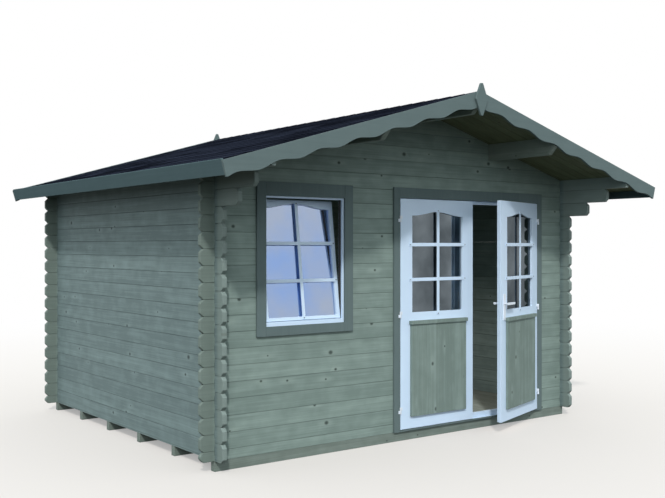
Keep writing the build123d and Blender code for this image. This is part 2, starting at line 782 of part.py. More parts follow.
def leaf_hinges(leaf):
    """Upper knuckles of a leaf's hinges, with flaps that stop short of the trim and bores for the pins."""
    with BuildPart() as hinges:
        for place in hinge_places:
            with BuildSketch(Plane(leaf.face.origin, x_dir=leaf.face.x_dir, z_dir=(0, 0, 1)).offset(place)):
                Circle(HINGE_RADIUS)
            extrude(amount=knuckle)
            with BuildSketch(leaf.plane(0)):
                board(spread(leaf, -middle(0, LEAF_GAP), HINGE_FLAP_WIDTH), (place, place + knuckle))
            extrude(amount=HINGE_FLAP_THICK)
            with BuildSketch(Plane(leaf.face.origin, x_dir=leaf.face.x_dir, z_dir=(0, 0, 1)).offset(place)):
                RegularPolygon(HINGE_PIN_RADIUS + HINGE_PLAY, PIN_SIDES, major_radius=False)
            extrude(amount=knuckle - HINGE_RADIUS, mode=Mode.SUBTRACT)
    return hinges


# Lower knuckles with their pins stand on the door frame's trim
with BuildPart() as frame_hinges:
    for leaf in (left_leaf, right_leaf):
        for place in hinge_places:
            hinge_top = leaf_low + place - HINGE_PLAY
            with BuildSketch(Plane((leaf.axis_x, hinge_y, hinge_top))):
                Circle(HINGE_RADIUS)
            extrude(amount=-knuckle)
            with BuildSketch(Plane((leaf.axis_x, hinge_y, hinge_top))):
                RegularPolygon(HINGE_PIN_RADIUS, PIN_SIDES)
            extrude(amount=knuckle - 2 * HINGE_RADIUS)
            with BuildSketch(front_view(leaf_face)):
                edge = leaf.axis_x - leaf.hand * HINGE_FLAP_WIDTH
                board(sorted((leaf.axis_x, edge)), (hinge_top - knuckle, hinge_top))
            extrude(amount=HINGE_FLAP_THICK)
write(frame_hinges, "frame_hinges")

for leaf, side in ((left_leaf, "left"), (right_leaf, "right")):
    write(door_leaf(leaf, leaf is right_leaf), f"{side}_door_leaf")
    write(leaf_glass(leaf), f"{side}_door_glass")
    write(leaf_panel(leaf), f"{side}_door_panel")
    write(leaf_hinges(leaf), f"{side}_door_hinges")

# Handle plates on both faces of the right leaf, and one lever set on a through spindle
plate_place = (right_leaf.across(spindle_place), plate_level)
spindle_spot = (right_leaf.across(spindle_place), spindle_level)
with BuildPart() as handle_plates:
    for depth in (0, LEAF_THICK + PLATE_THICK):
        with BuildSketch(right_leaf.plane(depth)):
            with Locations(plate_place):
                Rectangle(PLATE_WIDTH, PLATE_HIGH)
            with Locations(spindle_spot):
                Circle(SPINDLE_RADIUS + SPINDLE_PLAY, mode=Mode.SUBTRACT)
        extrude(amount=PLATE_THICK)
write(handle_plates, "right_door_handle_plates")

with BuildPart() as lever:
    inner_end = LEAF_THICK + LEVER_STAND
    with BuildSketch(right_leaf.plane(inner_end)):
        with Locations(spindle_spot):
            Circle(SPINDLE_RADIUS)
    extrude(amount=inner_end + LEVER_STAND)
    for depth in (inner_end, -LEVER_STAND + 2 * LEVER_RADIUS):
        with BuildSketch(right_leaf.plane(depth)):
            grip_middle = spindle_spot[0] - right_leaf.hand * (LEVER_LENGTH / 2 - LEVER_RADIUS)
            with Locations((grip_middle, spindle_level)):
                Rectangle(LEVER_LENGTH, 2 * LEVER_RADIUS)
        extrude(amount=2 * LEVER_RADIUS)
write(lever, "right_door_lever")
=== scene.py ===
"""Looks of the log cabin: rounded logs, boards, shingles, glazing bars and finishes."""

import json
import logging
import math
from dataclasses import dataclass, field
from enum import Enum
from typing import Any, Callable, Sequence

import bmesh
import bpy
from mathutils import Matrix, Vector


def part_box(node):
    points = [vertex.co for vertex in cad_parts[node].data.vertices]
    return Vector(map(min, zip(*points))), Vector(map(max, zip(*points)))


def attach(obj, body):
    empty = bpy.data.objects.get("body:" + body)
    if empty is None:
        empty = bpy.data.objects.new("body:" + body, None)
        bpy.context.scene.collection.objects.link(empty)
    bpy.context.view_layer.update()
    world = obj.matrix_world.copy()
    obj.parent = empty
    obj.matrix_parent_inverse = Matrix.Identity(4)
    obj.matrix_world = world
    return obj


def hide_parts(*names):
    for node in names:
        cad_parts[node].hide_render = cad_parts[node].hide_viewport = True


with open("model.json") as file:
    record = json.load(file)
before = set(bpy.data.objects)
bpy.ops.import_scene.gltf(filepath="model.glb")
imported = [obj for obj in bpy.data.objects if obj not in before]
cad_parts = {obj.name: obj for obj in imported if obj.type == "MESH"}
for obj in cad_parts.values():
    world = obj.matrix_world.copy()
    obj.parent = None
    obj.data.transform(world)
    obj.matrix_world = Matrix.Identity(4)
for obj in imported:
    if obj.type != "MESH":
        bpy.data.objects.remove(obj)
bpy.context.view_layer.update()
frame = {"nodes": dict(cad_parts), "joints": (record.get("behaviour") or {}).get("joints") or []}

log = logging.getLogger("cabin")

MM = 0.001
MERGE = 0.02 * MM  # corners nearer than this become one
ON_LINE = 0.05 * MM  # corners nearer than this to a groove's line count as on it
FLAT_TURN = math.radians(0.3)  # faces that turn less than this become one
EDGE_TURN = math.radians(28.0)  # edges that turn more than this are rounded
SMOOTH_TURN = math.radians(40.0)  # edges that turn more than this look sharp
FACING = 0.99  # least cosine between a face's normal and the way that it is said to face
SLOPE = math.radians(16.1)  # of both halves of the roof
STAGGER_CYCLE, SLIP_CYCLE = 2, 3  # courses after which the tabs' stagger and slip come round again
HALF_BOARD = 0.5  # farthest from a joint, in boards
RIGHT, BACK, UP = Vector((1.0, 0.0, 0.0)), Vector((0.0, 1.0, 0.0)), Vector((0.0, 0.0, 1.0))
ORIGIN = (0.0, 0.0, 0.0)
WHITE = (1.0, 1.0, 1.0, 1.0)

Piece = bpy.types.Object
Material = bpy.types.Material
Tree = bpy.types.NodeTree
Socket = bpy.types.NodeSocket
Span = tuple[float, float]


class Axis(Enum):
    """Direction in the shared frame, as the place of its number in a vector."""

    WIDTH = 0
    DEPTH = 1
    HEIGHT = 2


class Slot(Enum):
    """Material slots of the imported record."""

    LOG_STAIN = "log_stain"
    TRIM_STAIN = "trim_stain"
    WHITE_PAINT = "white_paint"
    RAW_WOOD = "raw_wood"
    JOIST_WOOD = "joist_wood"
    SHINGLE_FELT = "shingle_felt"
    WHITE_METAL = "white_metal"


def colour(code: str) -> tuple[float, float, float, float]:
    """Turn an sRGB hex value to a linear colour.

    Args:
        code: six hex digits after a hash.

    Returns:
        Linear red, green and blue, and an alpha of one.
    """
    parts = [int(code[place:place + 2], 16) / 255.0 for place in (1, 3, 5)]
    linear = [part / 12.92 if part <= 0.04045 else ((part + 0.055) / 1.055) ** 2.4 for part in parts]
    return linear[0], linear[1], linear[2], 1.0


def fill(tree: Tree, node: bpy.types.Node, inputs: dict[Any, Any]) -> None:
    """Give a node's inputs their values and links.

    Args:
        tree: node tree that holds the node.
        node: the node.
        inputs: a value, or a socket to link from, for each input by its name or number.
    """
    for key, value in inputs.items():
        if isinstance(value, Socket):
            tree.links.new(value, node.inputs[key])
        else:
            node.inputs[key].default_value = value


def add_node(tree: Tree, kind: str, inputs: dict[Any, Any], **settings: Any) -> bpy.types.NodeOutputs:
    """Add a shader node with its settings and links.

    Args:
        tree: node tree that gets the node.
        kind: the node's type name, without the words that all of them start with.
        inputs: a value, or a socket to link from, for each input by its name or number.
        settings: attributes of the node.

    Returns:
        The new node's outputs.
    """
    node = tree.nodes.new(f"ShaderNode{kind}")
    for key, value in settings.items():
        setattr(node, key, value)
    fill(tree, node, inputs)
    return node.outputs


def new_material(name: str) -> tuple[Material, Tree, bpy.types.Node]:
    """Start a material with a principled shader.

    Args:
        name: the material's name.

    Returns:
        The material, its node tree and its shader.
    """
    material = bpy.data.materials.new(name)
    material.use_nodes = True
    return material, material.node_tree, material.node_tree.nodes["Principled BSDF"]


def fade_over(
    tree: Tree, base: Socket, code: str, measure: Socket, limits: Span, shares: Span, where: Any = 1.0
) -> Socket:
    """Lay a colour over another, more or less of it along a measure.

    Args:
        tree: the material's node tree.
        base: colour underneath.
        code: colour on top, in hex.
        measure: what the fade follows.
        limits: the measure where the fade starts and ends.
        shares: how much of the upper colour shows there.
        where: one where the upper colour may show, and else nought.

    Returns:
        The blended colour.
    """
    ends = {"From Min": limits[0], "From Max": limits[1], "To Min": shares[0], "To Max": shares[1]}
    fade = add_node(tree, "MapRange", {"Value": measure} | ends, interpolation_type="SMOOTHSTEP")[0]
    shown = add_node(tree, "Math", {0: fade, 1: where}, operation="MULTIPLY")[0]
    return add_node(tree, "Mix", {"Factor": shown, "A": base, "B": colour(code)}, data_type="RGBA")["Result"]


@dataclass(frozen=True)
class WoodFinish:
    """Stain or bare surface of planed softwood: long fibres, broad tone from board to board, and knots.

    The fibres are drawn coarser than real, so that they show.
    """

    name: str
    light: str
    dark: str
    knot: str
    along: Axis
    across: Axis
    pitch_mm: float
    start_mm: float = 0.0
    contrast: float = 1.0
    board_contrast: float = 0.5
    board_slide: float = 37.0
    fibre_mm: float = 9.0
    fibre_length_mm: float = 420.0
    fibre_detail: float = 4.0
    figure_shares: Span = (2.5, 4.0)
    figure_detail: float = 3.0
    blotch_mm: float = 130.0
    mottle: Span = (1.15, 1.85)
    knot_spacing_mm: float = 250.0
    knot_stretch: float = 0.8
    knot_mm: float = 20.0
    knot_least: float = 0.5
    knot_share: float = 0.52
    knot_fade: Span = (0.4, 1.5)
    knot_depth: float = 0.95
    halo: str = ""
    halo_stretch: float = 0.4
    halo_fade: Span = (0.4, 3.4)
    halo_depth: float = 0.35
    joint_mm: float = 0.0
    joint_depth: float = 0.5
    end: str = ""
    end_mm: float = 0.0
    end_centre_mm: float = 0.0
    end_fade_mm: float = 40.0
    end_depth: float = 0.6
    roughness: float = 0.66
    roughness_swing: float = 0.08
    gloss: float = 0.2
    relief: float = 0.35
    relief_mm: float = 0.5

    def grain(self, tree: Tree, spot: Socket) -> tuple[Socket, Socket]:
        """Draw the fibres, and the mottle that they make with the wider figure and blotches.

        Args:
            tree: the material's node tree.
            spot: place on the board, slid along it.

        Returns:
            The fibres, and the tone of the mottle.
        """
        streaks = []
        for (length, width), detail in (
            ((1.0, 1.0), self.fibre_detail),
            (self.figure_shares, self.figure_detail),
        ):
            scale = (1 / (length * self.fibre_length_mm * MM), 1 / (width * self.fibre_mm * MM), 1.0)
            place = add_node(tree, "VectorMath", {0: spot, 1: scale}, operation="MULTIPLY")[0]
            noise = add_node(tree, "TexNoise", {"Vector": place, "Scale": 1.0, "Detail": detail})
            streaks.append(noise["Fac"])
        blot = {"Vector": spot, "Scale": 1 / (self.blotch_mm * MM), "Detail": self.figure_detail}
        blotch = add_node(tree, "TexNoise", blot)["Fac"]
        lines = add_node(tree, "Math", {0: streaks[0], 1: streaks[1]}, operation="ADD")[0]
        total = add_node(tree, "Math", {0: lines, 1: blotch}, operation="ADD")[0]
        low, high = self.mottle
        ends = {"From Min": low, "From Max": high, "To Min": 0.0, "To Max": self.contrast}
        return streaks[0], add_node(tree, "MapRange", {"Value": total} | ends)[0]

    def knotted(self, tree: Tree, spot: Socket, wood: Socket) -> Socket:
        """Set knots in the wood, with a paler patch round each where the finish has one.

        Args:
            tree: the material's node tree.
            spot: place on the board, slid along it.
            wood: the wood's colour.

        Returns:
            The wood's colour with its knots.
        """
        spacing = self.knot_spacing_mm * MM
        scale = (self.knot_stretch / spacing, 1 / spacing, 1.0)
        place = add_node(tree, "VectorMath", {0: spot, 1: scale}, operation="MULTIPLY")[0]
        cells = add_node(tree, "TexVoronoi", {"Vector": place, "Scale": 1.0}, voronoi_dimensions="2D")
        radius = self.knot_mm / 2 / self.knot_spacing_mm
        picked = add_node(tree, "SeparateColor", {0: cells["Color"]})
        grown = add_node(tree, "Math", {0: picked[1], 1: self.knot_least}, operation="ADD")[0]
        spread = add_node(tree, "Math", {0: cells["Distance"], 1: grown}, operation="DIVIDE")[0]
        present = add_node(tree, "Math", {0: picked[0], 1: self.knot_share}, operation="LESS_THAN")[0]
        patches = [(self.knot, spread, self.knot_fade, self.knot_depth)]
        if self.halo:
            away = add_node(tree, "VectorMath", {0: place, 1: cells["Position"]}, operation="SUBTRACT")[0]
            stretch = (self.halo_stretch, 1.0, 0.0)
            drawn = add_node(tree, "VectorMath", {0: away, 1: stretch}, operation="MULTIPLY")[0]
            ring = add_node(tree, "VectorMath", {0: drawn}, operation="LENGTH")["Value"]
            patches.insert(0, (self.halo, ring, self.halo_fade, self.halo_depth))
        for code, measure, fade, depth in patches:
            limits = (fade[0] * radius, fade[1] * radius)
            wood = fade_over(tree, wood, code, measure, limits, (depth, 0.0), present)
        return wood

    def material(self) -> Material:
        """Build the finish as a node material on object coordinates.

        Returns:
            The material.
        """
        material, tree, shader = new_material(self.name)
        place = add_node(tree, "TexCoord", {})["Object"]
        parts = add_node(tree, "SeparateXYZ", {0: place})
        along, across = parts[self.along.value], parts[self.across.value]
        shifted = add_node(tree, "Math", {0: across, 1: self.start_mm * MM}, operation="SUBTRACT")[0]
        boards = add_node(tree, "Math", {0: shifted, 1: self.pitch_mm * MM}, operation="DIVIDE")[0]
        number = add_node(tree, "Math", {0: boards}, operation="FLOOR")[0]
        chance = add_node(tree, "TexWhiteNoise", {"W": number}, noise_dimensions="1D")["Value"]
        slid = {0: chance, 1: self.board_slide, 2: along}
        slide = add_node(tree, "Math", slid, operation="MULTIPLY_ADD")[0]
        spot = add_node(tree, "CombineXYZ", {0: slide, 1: across, 2: number})[0]
        fibre, tone = self.grain(tree, spot)
        toned = {0: chance, 1: self.board_contrast, 2: tone}
        share = add_node(tree, "Math", toned, operation="MULTIPLY_ADD")[0]
        tones = {"Factor": share, "A": colour(self.light), "B": colour(self.dark)}
        wood = add_node(tree, "Mix", tones, data_type="RGBA")["Result"]
        wood = self.knotted(tree, spot, wood)
        if self.joint_mm > 0.0:
            spare = add_node(tree, "Math", {0: boards, 1: HALF_BOARD}, operation="PINGPONG")[0]
            limits = (0.0, self.joint_mm / self.pitch_mm)
            wood = fade_over(tree, wood, self.knot, spare, limits, (self.joint_depth, 0.0))
        if self.end:
            run = add_node(tree, "Math", {0: along, 1: self.end_centre_mm * MM}, operation="SUBTRACT")[0]
            reach = add_node(tree, "Math", {0: run}, operation="ABSOLUTE")[0]
            limits = (self.end_mm * MM, (self.end_mm + self.end_fade_mm) * MM)
            wood = fade_over(tree, wood, self.end, reach, limits, (0.0, self.end_depth))
        low, high = self.roughness - self.roughness_swing, self.roughness + self.roughness_swing
        sheen = add_node(tree, "MapRange", {"Value": fibre, "To Min": low, "To Max": high})[0]
        bump = {"Strength": self.relief, "Distance": self.relief_mm * MM, "Height": fibre}
        normal = add_node(tree, "Bump", bump)[0]
        ends = {"Base Color": wood, "Roughness": sheen, "Normal": normal, "Specular IOR Level": self.gloss}
        fill(tree, shader, ends)
        return material


@dataclass(frozen=True)
class CoatFinish:
    """Opaque coat, brushed, sprayed or plated: an even colour with a faint cloud and a fine ripple."""

    name: str
    light: str
    dark: str
    roughness: float
    ripple_mm: float
    relief_mm: float
    metallic: float = 0.0
    cloud_mm: float = 160.0
    cloud_detail: float = 3.0
    ripple_detail: float = 2.0
    relief: float = 0.2
    gloss: float = 0.35

    def material(self) -> Material:
        """Build the finish as a node material on object coordinates.

        Returns:
            The material.
        """
        material, tree, shader = new_material(self.name)
        place = add_node(tree, "TexCoord", {})["Object"]
        noise = {"Vector": place, "Scale": 1 / (self.cloud_mm * MM), "Detail": self.cloud_detail}
        cloud = add_node(tree, "TexNoise", noise)["Fac"]
        tones = {"Factor": cloud, "A": colour(self.light), "B": colour(self.dark)}
        noise = {"Vector": place, "Scale": 1 / (self.ripple_mm * MM), "Detail": self.ripple_detail}
        ripple = add_node(tree, "TexNoise", noise)["Fac"]
        bump = {"Strength": self.relief, "Distance": self.relief_mm * MM, "Height": ripple}
        ends = {
            "Base Color": add_node(tree, "Mix", tones, data_type="RGBA")["Result"],
            "Normal": add_node(tree, "Bump", bump)[0],
            "Roughness": self.roughness,
            "Metallic": self.metallic,
            "Specular IOR Level": self.gloss,
        }
        fill(tree, shader, ends)
        return material


@dataclass(frozen=True)
class FeltFinish:
    """Bitumen shingle with pressed-in mineral granules: dull, speckled, each tab with a tone of its own."""

    name: str
    light: str
    dark: str
    granule_mm: float = 6.0
    speck_share: float = 0.3
    roughness: float = 0.9
    relief: float = 0.5
    relief_mm: float = 1.0

    def material(self, front: float, exposure: float, width: float, slip: float) -> Material:
        """Build the finish as a node material; the granules are drawn coarser than real so that they show.

        Args:
            front: front end of the slope, where its tabs are counted from.
            exposure: level run of one course.
            width: width of a tab.
            slip: share of a tab by which a course slips, growing over a cycle of courses.

        Returns:
            The material.
        """
        material, tree, shader = new_material(self.name)
        place = add_node(tree, "TexCoord", {})["Object"]
        parts = add_node(tree, "SeparateXYZ", {0: place})
        run = add_node(tree, "Math", {0: parts[0]}, operation="ABSOLUTE")[0]
        down = add_node(tree, "Math", {0: run, 1: exposure}, operation="DIVIDE")[0]
        course = add_node(tree, "Math", {0: down}, operation="FLOOR")[0]
        side = add_node(tree, "Math", {0: parts[0]}, operation="SIGN")[0]
        local = add_node(tree, "Math", {0: parts[1], 1: side}, operation="MULTIPLY")[0]
        counted = {0: local, 1: 1 / width, 2: -front / width}
        count = add_node(tree, "Math", counted, operation="MULTIPLY_ADD")[0]
        for cycle, share in ((STAGGER_CYCLE, 1 / STAGGER_CYCLE), (SLIP_CYCLE, slip)):
            step = add_node(tree, "Math", {0: course, 1: cycle}, operation="MODULO")[0]
            count = add_node(tree, "Math", {0: step, 1: share, 2: count}, operation="MULTIPLY_ADD")[0]
        number = add_node(tree, "Math", {0: count}, operation="FLOOR")[0]
        tab = add_node(tree, "CombineXYZ", {0: course, 1: number, 2: side})[0]
        chance = add_node(tree, "TexWhiteNoise", {"Vector": tab}, noise_dimensions="3D")["Value"]
        granules = add_node(tree, "TexVoronoi", {"Vector": place, "Scale": 1 / (self.granule_mm * MM)})
        speck = add_node(tree, "SeparateColor", {0: granules["Color"]})[0]
        mixed = {"Factor": self.speck_share, "A": chance, "B": speck}
        total = add_node(tree, "Mix", mixed, data_type="FLOAT")["Result"]
        tones = {"Factor": total, "A": colour(self.dark), "B": colour(self.light)}
        bump = {"Strength": self.relief, "Distance": self.relief_mm * MM, "Height": granules["Distance"]}
        ends = {
            "Base Color": add_node(tree, "Mix", tones, data_type="RGBA")["Result"],
            "Normal": add_node(tree, "Bump", bump)[0],
            "Roughness": self.roughness,
            "Specular IOR Level": 0.0,
        }
        fill(tree, shader, ends)
        return material


@dataclass(frozen=True)
class GlassFinish:
    """Float glass: partly a mirror, partly clear; the mirror's tint and faint cloud are a painted reflection.
    """

    name: str
    light: str
    dark: str
    clearness: float
    edge: float = 1.0
    roughness: float = 0.02
    cloud_mm: float = 420.0
    cloud_detail: float = 4.0
    cloud_span: Span = (0.35, 0.65)

    def material(self) -> Material:
        """Build the finish as a node material on object coordinates.

        Returns:
            The material.
        """
        material, tree, shader = new_material(self.name)
        place = add_node(tree, "TexCoord", {})["Object"]
        # The faint cloud between the two tints is a painted reflection.
        noise = {"Vector": place, "Scale": 1 / (self.cloud_mm * MM), "Detail": self.cloud_detail}
        cloud = add_node(tree, "TexNoise", noise)["Fac"]
        low, high = self.cloud_span
        spread = add_node(tree, "MapRange", {"Value": cloud, "From Min": low, "From Max": high})[0]
        tones = {"Factor": spread, "A": colour(self.light), "B": colour(self.dark)}
        ends = {
            "Base Color": add_node(tree, "Mix", tones, data_type="RGBA")["Result"],
            "Metallic": 1.0,
            "Specular Tint": (self.edge, self.edge, self.edge, 1.0),
            "Roughness": self.roughness,
            "Alpha": 1.0 - self.clearness,
        }
        fill(tree, shader, ends)
        return material


# Planed spruce logs of the side walls under a thin grey-green stain: fibres along the log, a tone of its
# own for each log, and dark knots with a paler patch round them. Their colour is darker and bluer than the
# front and back walls as painted shade, since the side walls catch less sun, and the lighter tone at the
# rounded tips, which face the front, is painted light.
SHADED_SIDE_LOGS = WoodFinish(
    "stained_side_logs",
    "#7a8d8c",
    "#657676",
    "#3b4645",
    Axis.DEPTH,
    Axis.HEIGHT,
    114.0,
    84.0,
    board_contrast=0.4,
    halo="#8a9d9b",
    joint_mm=4.0,
    end="#828f88",
    end_mm=1500.0,
    end_centre_mm=287.0,
)
# The same stained spruce in the front and back walls, half a log higher, and darker towards the tips.
CROSS_LOGS = WoodFinish(
    "stained_cross_logs",
    "#899b94",
    "#72837d",
    "#3d4844",
    Axis.WIDTH,
    Axis.HEIGHT,
    114.0,
    141.0,
    contrast=0.9,
    board_contrast=0.4,
    halo="#99aaa2",
    joint_mm=4.0,
    end="#626d66",
    end_mm=1790.0,
)
# Upright tongued boards of the doors' lower panels, in the wall's stain: fibres that run up the door.
DOOR_BOARDS = WoodFinish(
    "stained_door_boards", "#83948e", "#6f7f79", "#3f4a46", Axis.HEIGHT, Axis.WIDTH, 102.0, halo="#93a49d"
)
# Rough bare boards under the overhang: dull, dark in the joints, and a dark olive grey that is painted
# shade of the overhang, darker than the bare wood itself.
SHADED_ROOF_BOARDS = WoodFinish(
    "bare_roof_boards", "#5f674d", "#4d553e", "#343a2c", Axis.WIDTH, Axis.DEPTH, 95.08, joint_mm=4.0
)
# Planed purlins in the wall's stain, each one piece of timber, so that only fibres and a few knots show.
PURLINS = WoodFinish("stained_purlins", "#86938a", "#717d75", "#3d4844", Axis.DEPTH, Axis.HEIGHT, 600.0, 84.0)
# Bare planed floor boards, greyish and matt, with a dark line at each joint.
FLOOR_BOARDS = WoodFinish(
    "planed_floor_boards", "#89918b", "#747c76", "#4e534d", Axis.DEPTH, Axis.WIDTH, 90.6, joint_mm=3.0
)
# Pressure-impregnated joists: grey-green right through, matt, with coarse level fibres.
JOISTS = WoodFinish("impregnated_joists", "#808d86", "#6a766f", "#39413c", Axis.WIDTH, Axis.HEIGHT, 584.0)
# Opaque stain on planed trim, bargeboards and eaves boards: a darker blue-green that hides the knots and
# nearly all grain.
TRIM: dict[str, Any] = {
    "light": "#647373",
    "dark": "#5a6969",
    "knot": "#4f5d5d",
    "contrast": 0.5,
    "knot_share": 0.0,
    "relief_mm": 0.2,
    "gloss": 0.06,
}
TRIM_BOARDS = WoodFinish("opaque_stained_trim", along=Axis.HEIGHT, across=Axis.WIDTH, pitch_mm=300.0, **TRIM)
# The same stain on the bargeboards and finials, with the fibres along the boards.
SLOPE_BOARDS = WoodFinish(
    "opaque_stained_bargeboards", along=Axis.WIDTH, across=Axis.HEIGHT, pitch_mm=3000.0, **TRIM
)
# The same stain on the eaves boards, without gloss, and darker and bluer as painted shade on boards that
# face the sides.
SHADED_EAVES_BOARDS = WoodFinish(
    "opaque_stained_eaves",
    along=Axis.DEPTH,
    across=Axis.HEIGHT,
    pitch_mm=3000.0,
    **(TRIM | {"light": "#576a6d", "dark": "#4f6164", "gloss": 0.0}),
)
# Satin paint on the doors and window: cool white, smooth, with a soft highlight.
JOINERY_PAINT = CoatFinish("satin_joinery_paint", "#cde2f5", "#c3d8ed", 0.38, 14.0, 0.15)
# Painted shade in the window frame's rebate: a dull brown-black behind the painted lip.
REBATE_SHADE = CoatFinish("dark_rebate_stain", "#33302b", "#2a2824", 0.6, 14.0, 0.15)
# White powder coat on steel hinges and handles: brighter than the paint, with an orange-peel ripple that
# is drawn coarser than real so that it shows.
POWDER_COAT = CoatFinish("powder_coated_metal", "#dfe7f0", "#d5dee8", 0.3, 3.0, 0.08)
# Zinc-plated steel of the bars' screws: a dull grey metal, with a grain that is drawn coarser than real so
# that it shows.
SCREW_ZINC = CoatFinish("zinc_plated_steel", "#70757a", "#5c6166", 0.42, 2.0, 0.05, metallic=1.0)
# Bitumen felt with slate granules: blue-black, without gloss, with single tabs a little paler.
SHINGLE_FELT = FeltFinish("bitumen_felt", "#2b303d", "#090b11")
# Glass of the tilted window: a mirror that hardly shows the room; its pale blue tint and faint cloud are a
# painted reflection of the sky.
WINDOW_GLASS = GlassFinish("coated_window_glass", "#b0bed6", "#98b6e8", 0.2)
# Glass of the upright doors: a mirror that hardly shows the room and darkens at a slant; its deep grey tint
# and faint cloud are a painted reflection of dark surroundings.
DOOR_GLASS = GlassFinish("coated_door_glass", "#7e878d", "#4c5459", 0.14, edge=0.45)


def make_active(*pieces: Piece) -> None:
    """Select only these pieces and make the first one active."""
    bpy.ops.object.select_all(action="DESELECT")
    for piece in pieces:
        piece.select_set(True)
    bpy.context.view_layer.objects.active = pieces[0]


def take_active(name: str) -> Piece:
    """Name what an operator has just made.

    Args:
        name: name for the object and its data.

    Returns:
        The active object.
    """
    made = bpy.context.view_layer.objects.active
    made.name = made.data.name = name
    return made


def apply_modifier(piece: Piece, kind: str, **settings: Any) -> None:
    """Add a modifier to a piece and apply it.

    Args:
        piece: piece that is changed.
        kind: the modifier's type.
        settings: attributes of the modifier.
    """
    make_active(piece)
    bpy.ops.object.modifier_add(type=kind)
    modifier = piece.modifiers[-1]
    for key, value in settings.items():
        setattr(modifier, key, value)
    bpy.ops.object.modifier_apply(modifier=modifier.name)


def merged_copy(node: str, name: str) -> Piece:
    """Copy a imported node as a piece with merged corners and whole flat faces.

    Args:
        node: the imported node.
        name: the new piece's name.

    Returns:
        The new piece, with a mesh of its own.
    """
    make_active(frame["nodes"][node])
    bpy.ops.object.duplicate()
    piece = take_active(name)
    for key in list(piece.keys()):
        del piece[key]
    bpy.ops.object.mode_set(mode="EDIT")
    bpy.ops.mesh.select_all(action="SELECT")
    bpy.ops.mesh.remove_doubles(threshold=MERGE)
    bpy.ops.mesh.dissolve_limited(angle_limit=FLAT_TURN)
    bpy.ops.object.mode_set(mode="OBJECT")
    return piece


def select_edges(piece: Piece, test: Callable[[bmesh.types.BMEdge], bool]) -> int:
    """Enter edit mode with only the edges that pass a test selected.

    Args:
        piece: piece to edit.
        test: says whether an edge is wanted.

    Returns:
        How many edges are selected.
    """
    make_active(piece)
    bpy.ops.object.mode_set(mode="EDIT")
    bpy.ops.mesh.select_mode(type="EDGE")
    bpy.ops.mesh.select_all(action="DESELECT")
    mesh = bmesh.from_edit_mesh(piece.data)
    wanted = [edge for edge in mesh.edges if test(edge)]
    for edge in wanted:
        edge.select_set(True)
    bmesh.update_edit_mesh(piece.data)
    return len(wanted)


def cut(piece: Piece, planes: Sequence[tuple[Sequence[float], Vector]], trim: bool = False) -> None:
    """Cut a piece along planes.

    Args:
        piece: piece to cut.
        planes: a point on each plane and its normal.
        trim: whether what lies beyond each plane goes, and the cut is closed.
    """
    make_active(piece)
    bpy.ops.object.mode_set(mode="EDIT")
    for point, normal in planes:
        bpy.ops.mesh.select_all(action="SELECT")
        bpy.ops.mesh.bisect(plane_co=point, plane_no=normal, clear_outer=trim, use_fill=trim)
    bpy.ops.object.mode_set(mode="OBJECT")


def repeat(piece: Piece, count: int, pitch: float) -> None:
    """Repeat a piece towards the back, in one mesh.

    Args:
        piece: piece to repeat.
        count: how many there are then.
        pitch: from one to the next.
    """
    apply_modifier(
        piece,
        "ARRAY",
        count=count,
        use_relative_offset=False,
        use_constant_offset=True,
        constant_offset_displace=BACK * pitch,
    )


def ease_edges(piece: Piece, width: float, segments: int = 2) -> None:
    """Round a piece's edges and keep its flat faces flat in the light.

    Args:
        piece: piece to finish.
        width: width of the rounding in metres.
        segments: facets in each rounding.
    """
    apply_modifier(
        piece,
        "BEVEL",
        width=width,
        segments=segments,
        limit_method="ANGLE",
        angle_limit=EDGE_TURN,
        use_clamp_overlap=True,
    )
    make_active(piece)
    bpy.ops.object.shade_smooth_by_angle(angle=SMOOTH_TURN)
    apply_modifier(piece, "WEIGHTED_NORMAL", keep_sharp=True)


@dataclass(frozen=True)
class Groove:
    """V-groove between two boards."""

    width: float
    depth: float

    def score(
        self,
        piece: Piece,
        across: Vector,
        places: Sequence[float],
        facing: Vector,
        ceiling: float = math.inf,
    ) -> None:
        """Cut grooves between the boards of a slab, on one of its faces.

        Args:
            piece: the slab.
            across: direction over the boards.
            places: where the grooves lie along that direction.
            facing: normal of the grooved face.
            ceiling: level over which the face takes no grooves.
        """
        cut(piece, [(across * place, across) for place in places])

        def on_line(point: Vector) -> bool:
            """Say whether a point lies on one of the groove lines."""
            spot = point.dot(across)
            return any(abs(spot - place) < ON_LINE for place in places)

        def wanted(edge: bmesh.types.BMEdge) -> bool:
            """Say whether an edge is a groove's line on the grooved face."""
            faces, ends = edge.link_faces, [corner.co for corner in edge.verts]
            flat = len(faces) == 2 and all(face.normal.dot(facing) > FACING for face in faces)
            return flat and all(on_line(end) for end in ends) and (ends[0].z + ends[1].z) / 2 < ceiling

        select_edges(piece, wanted)
        bpy.ops.mesh.bevel(offset=self.width / 2, segments=2, affect="EDGES", clamp_overlap=False)
        mesh = bmesh.from_edit_mesh(piece.data)
        middle = [corner for corner in mesh.verts if corner.select and on_line(corner.co)]
        bpy.ops.mesh.select_all(action="DESELECT")
        bpy.ops.mesh.select_mode(type="VERT")
        for corner in middle:
            corner.select_set(True)
        bmesh.update_edit_mesh(piece.data)
        bpy.ops.transform.translate(value=-facing * self.depth)
        bpy.ops.object.mode_set(mode="OBJECT")


def add_block(name: str, low: Sequence[float], high: Sequence[float]) -> Piece:
    """Add a box between two corners, its place in its mesh.

    Args:
        name: the piece's name.
        low: lowest corner.
        high: highest corner.

    Returns:
        The new piece.
    """
    bpy.ops.object.select_all(action="DESELECT")
    middle = [(a + b) / 2 for a, b in zip(low, high)]
    bpy.ops.mesh.primitive_cube_add(size=1.0, location=middle)
    piece = take_active(name)
    piece.scale = [b - a for a, b in zip(low, high)]
    bpy.ops.object.transform_apply(location=True, rotation=True, scale=True)
    return piece


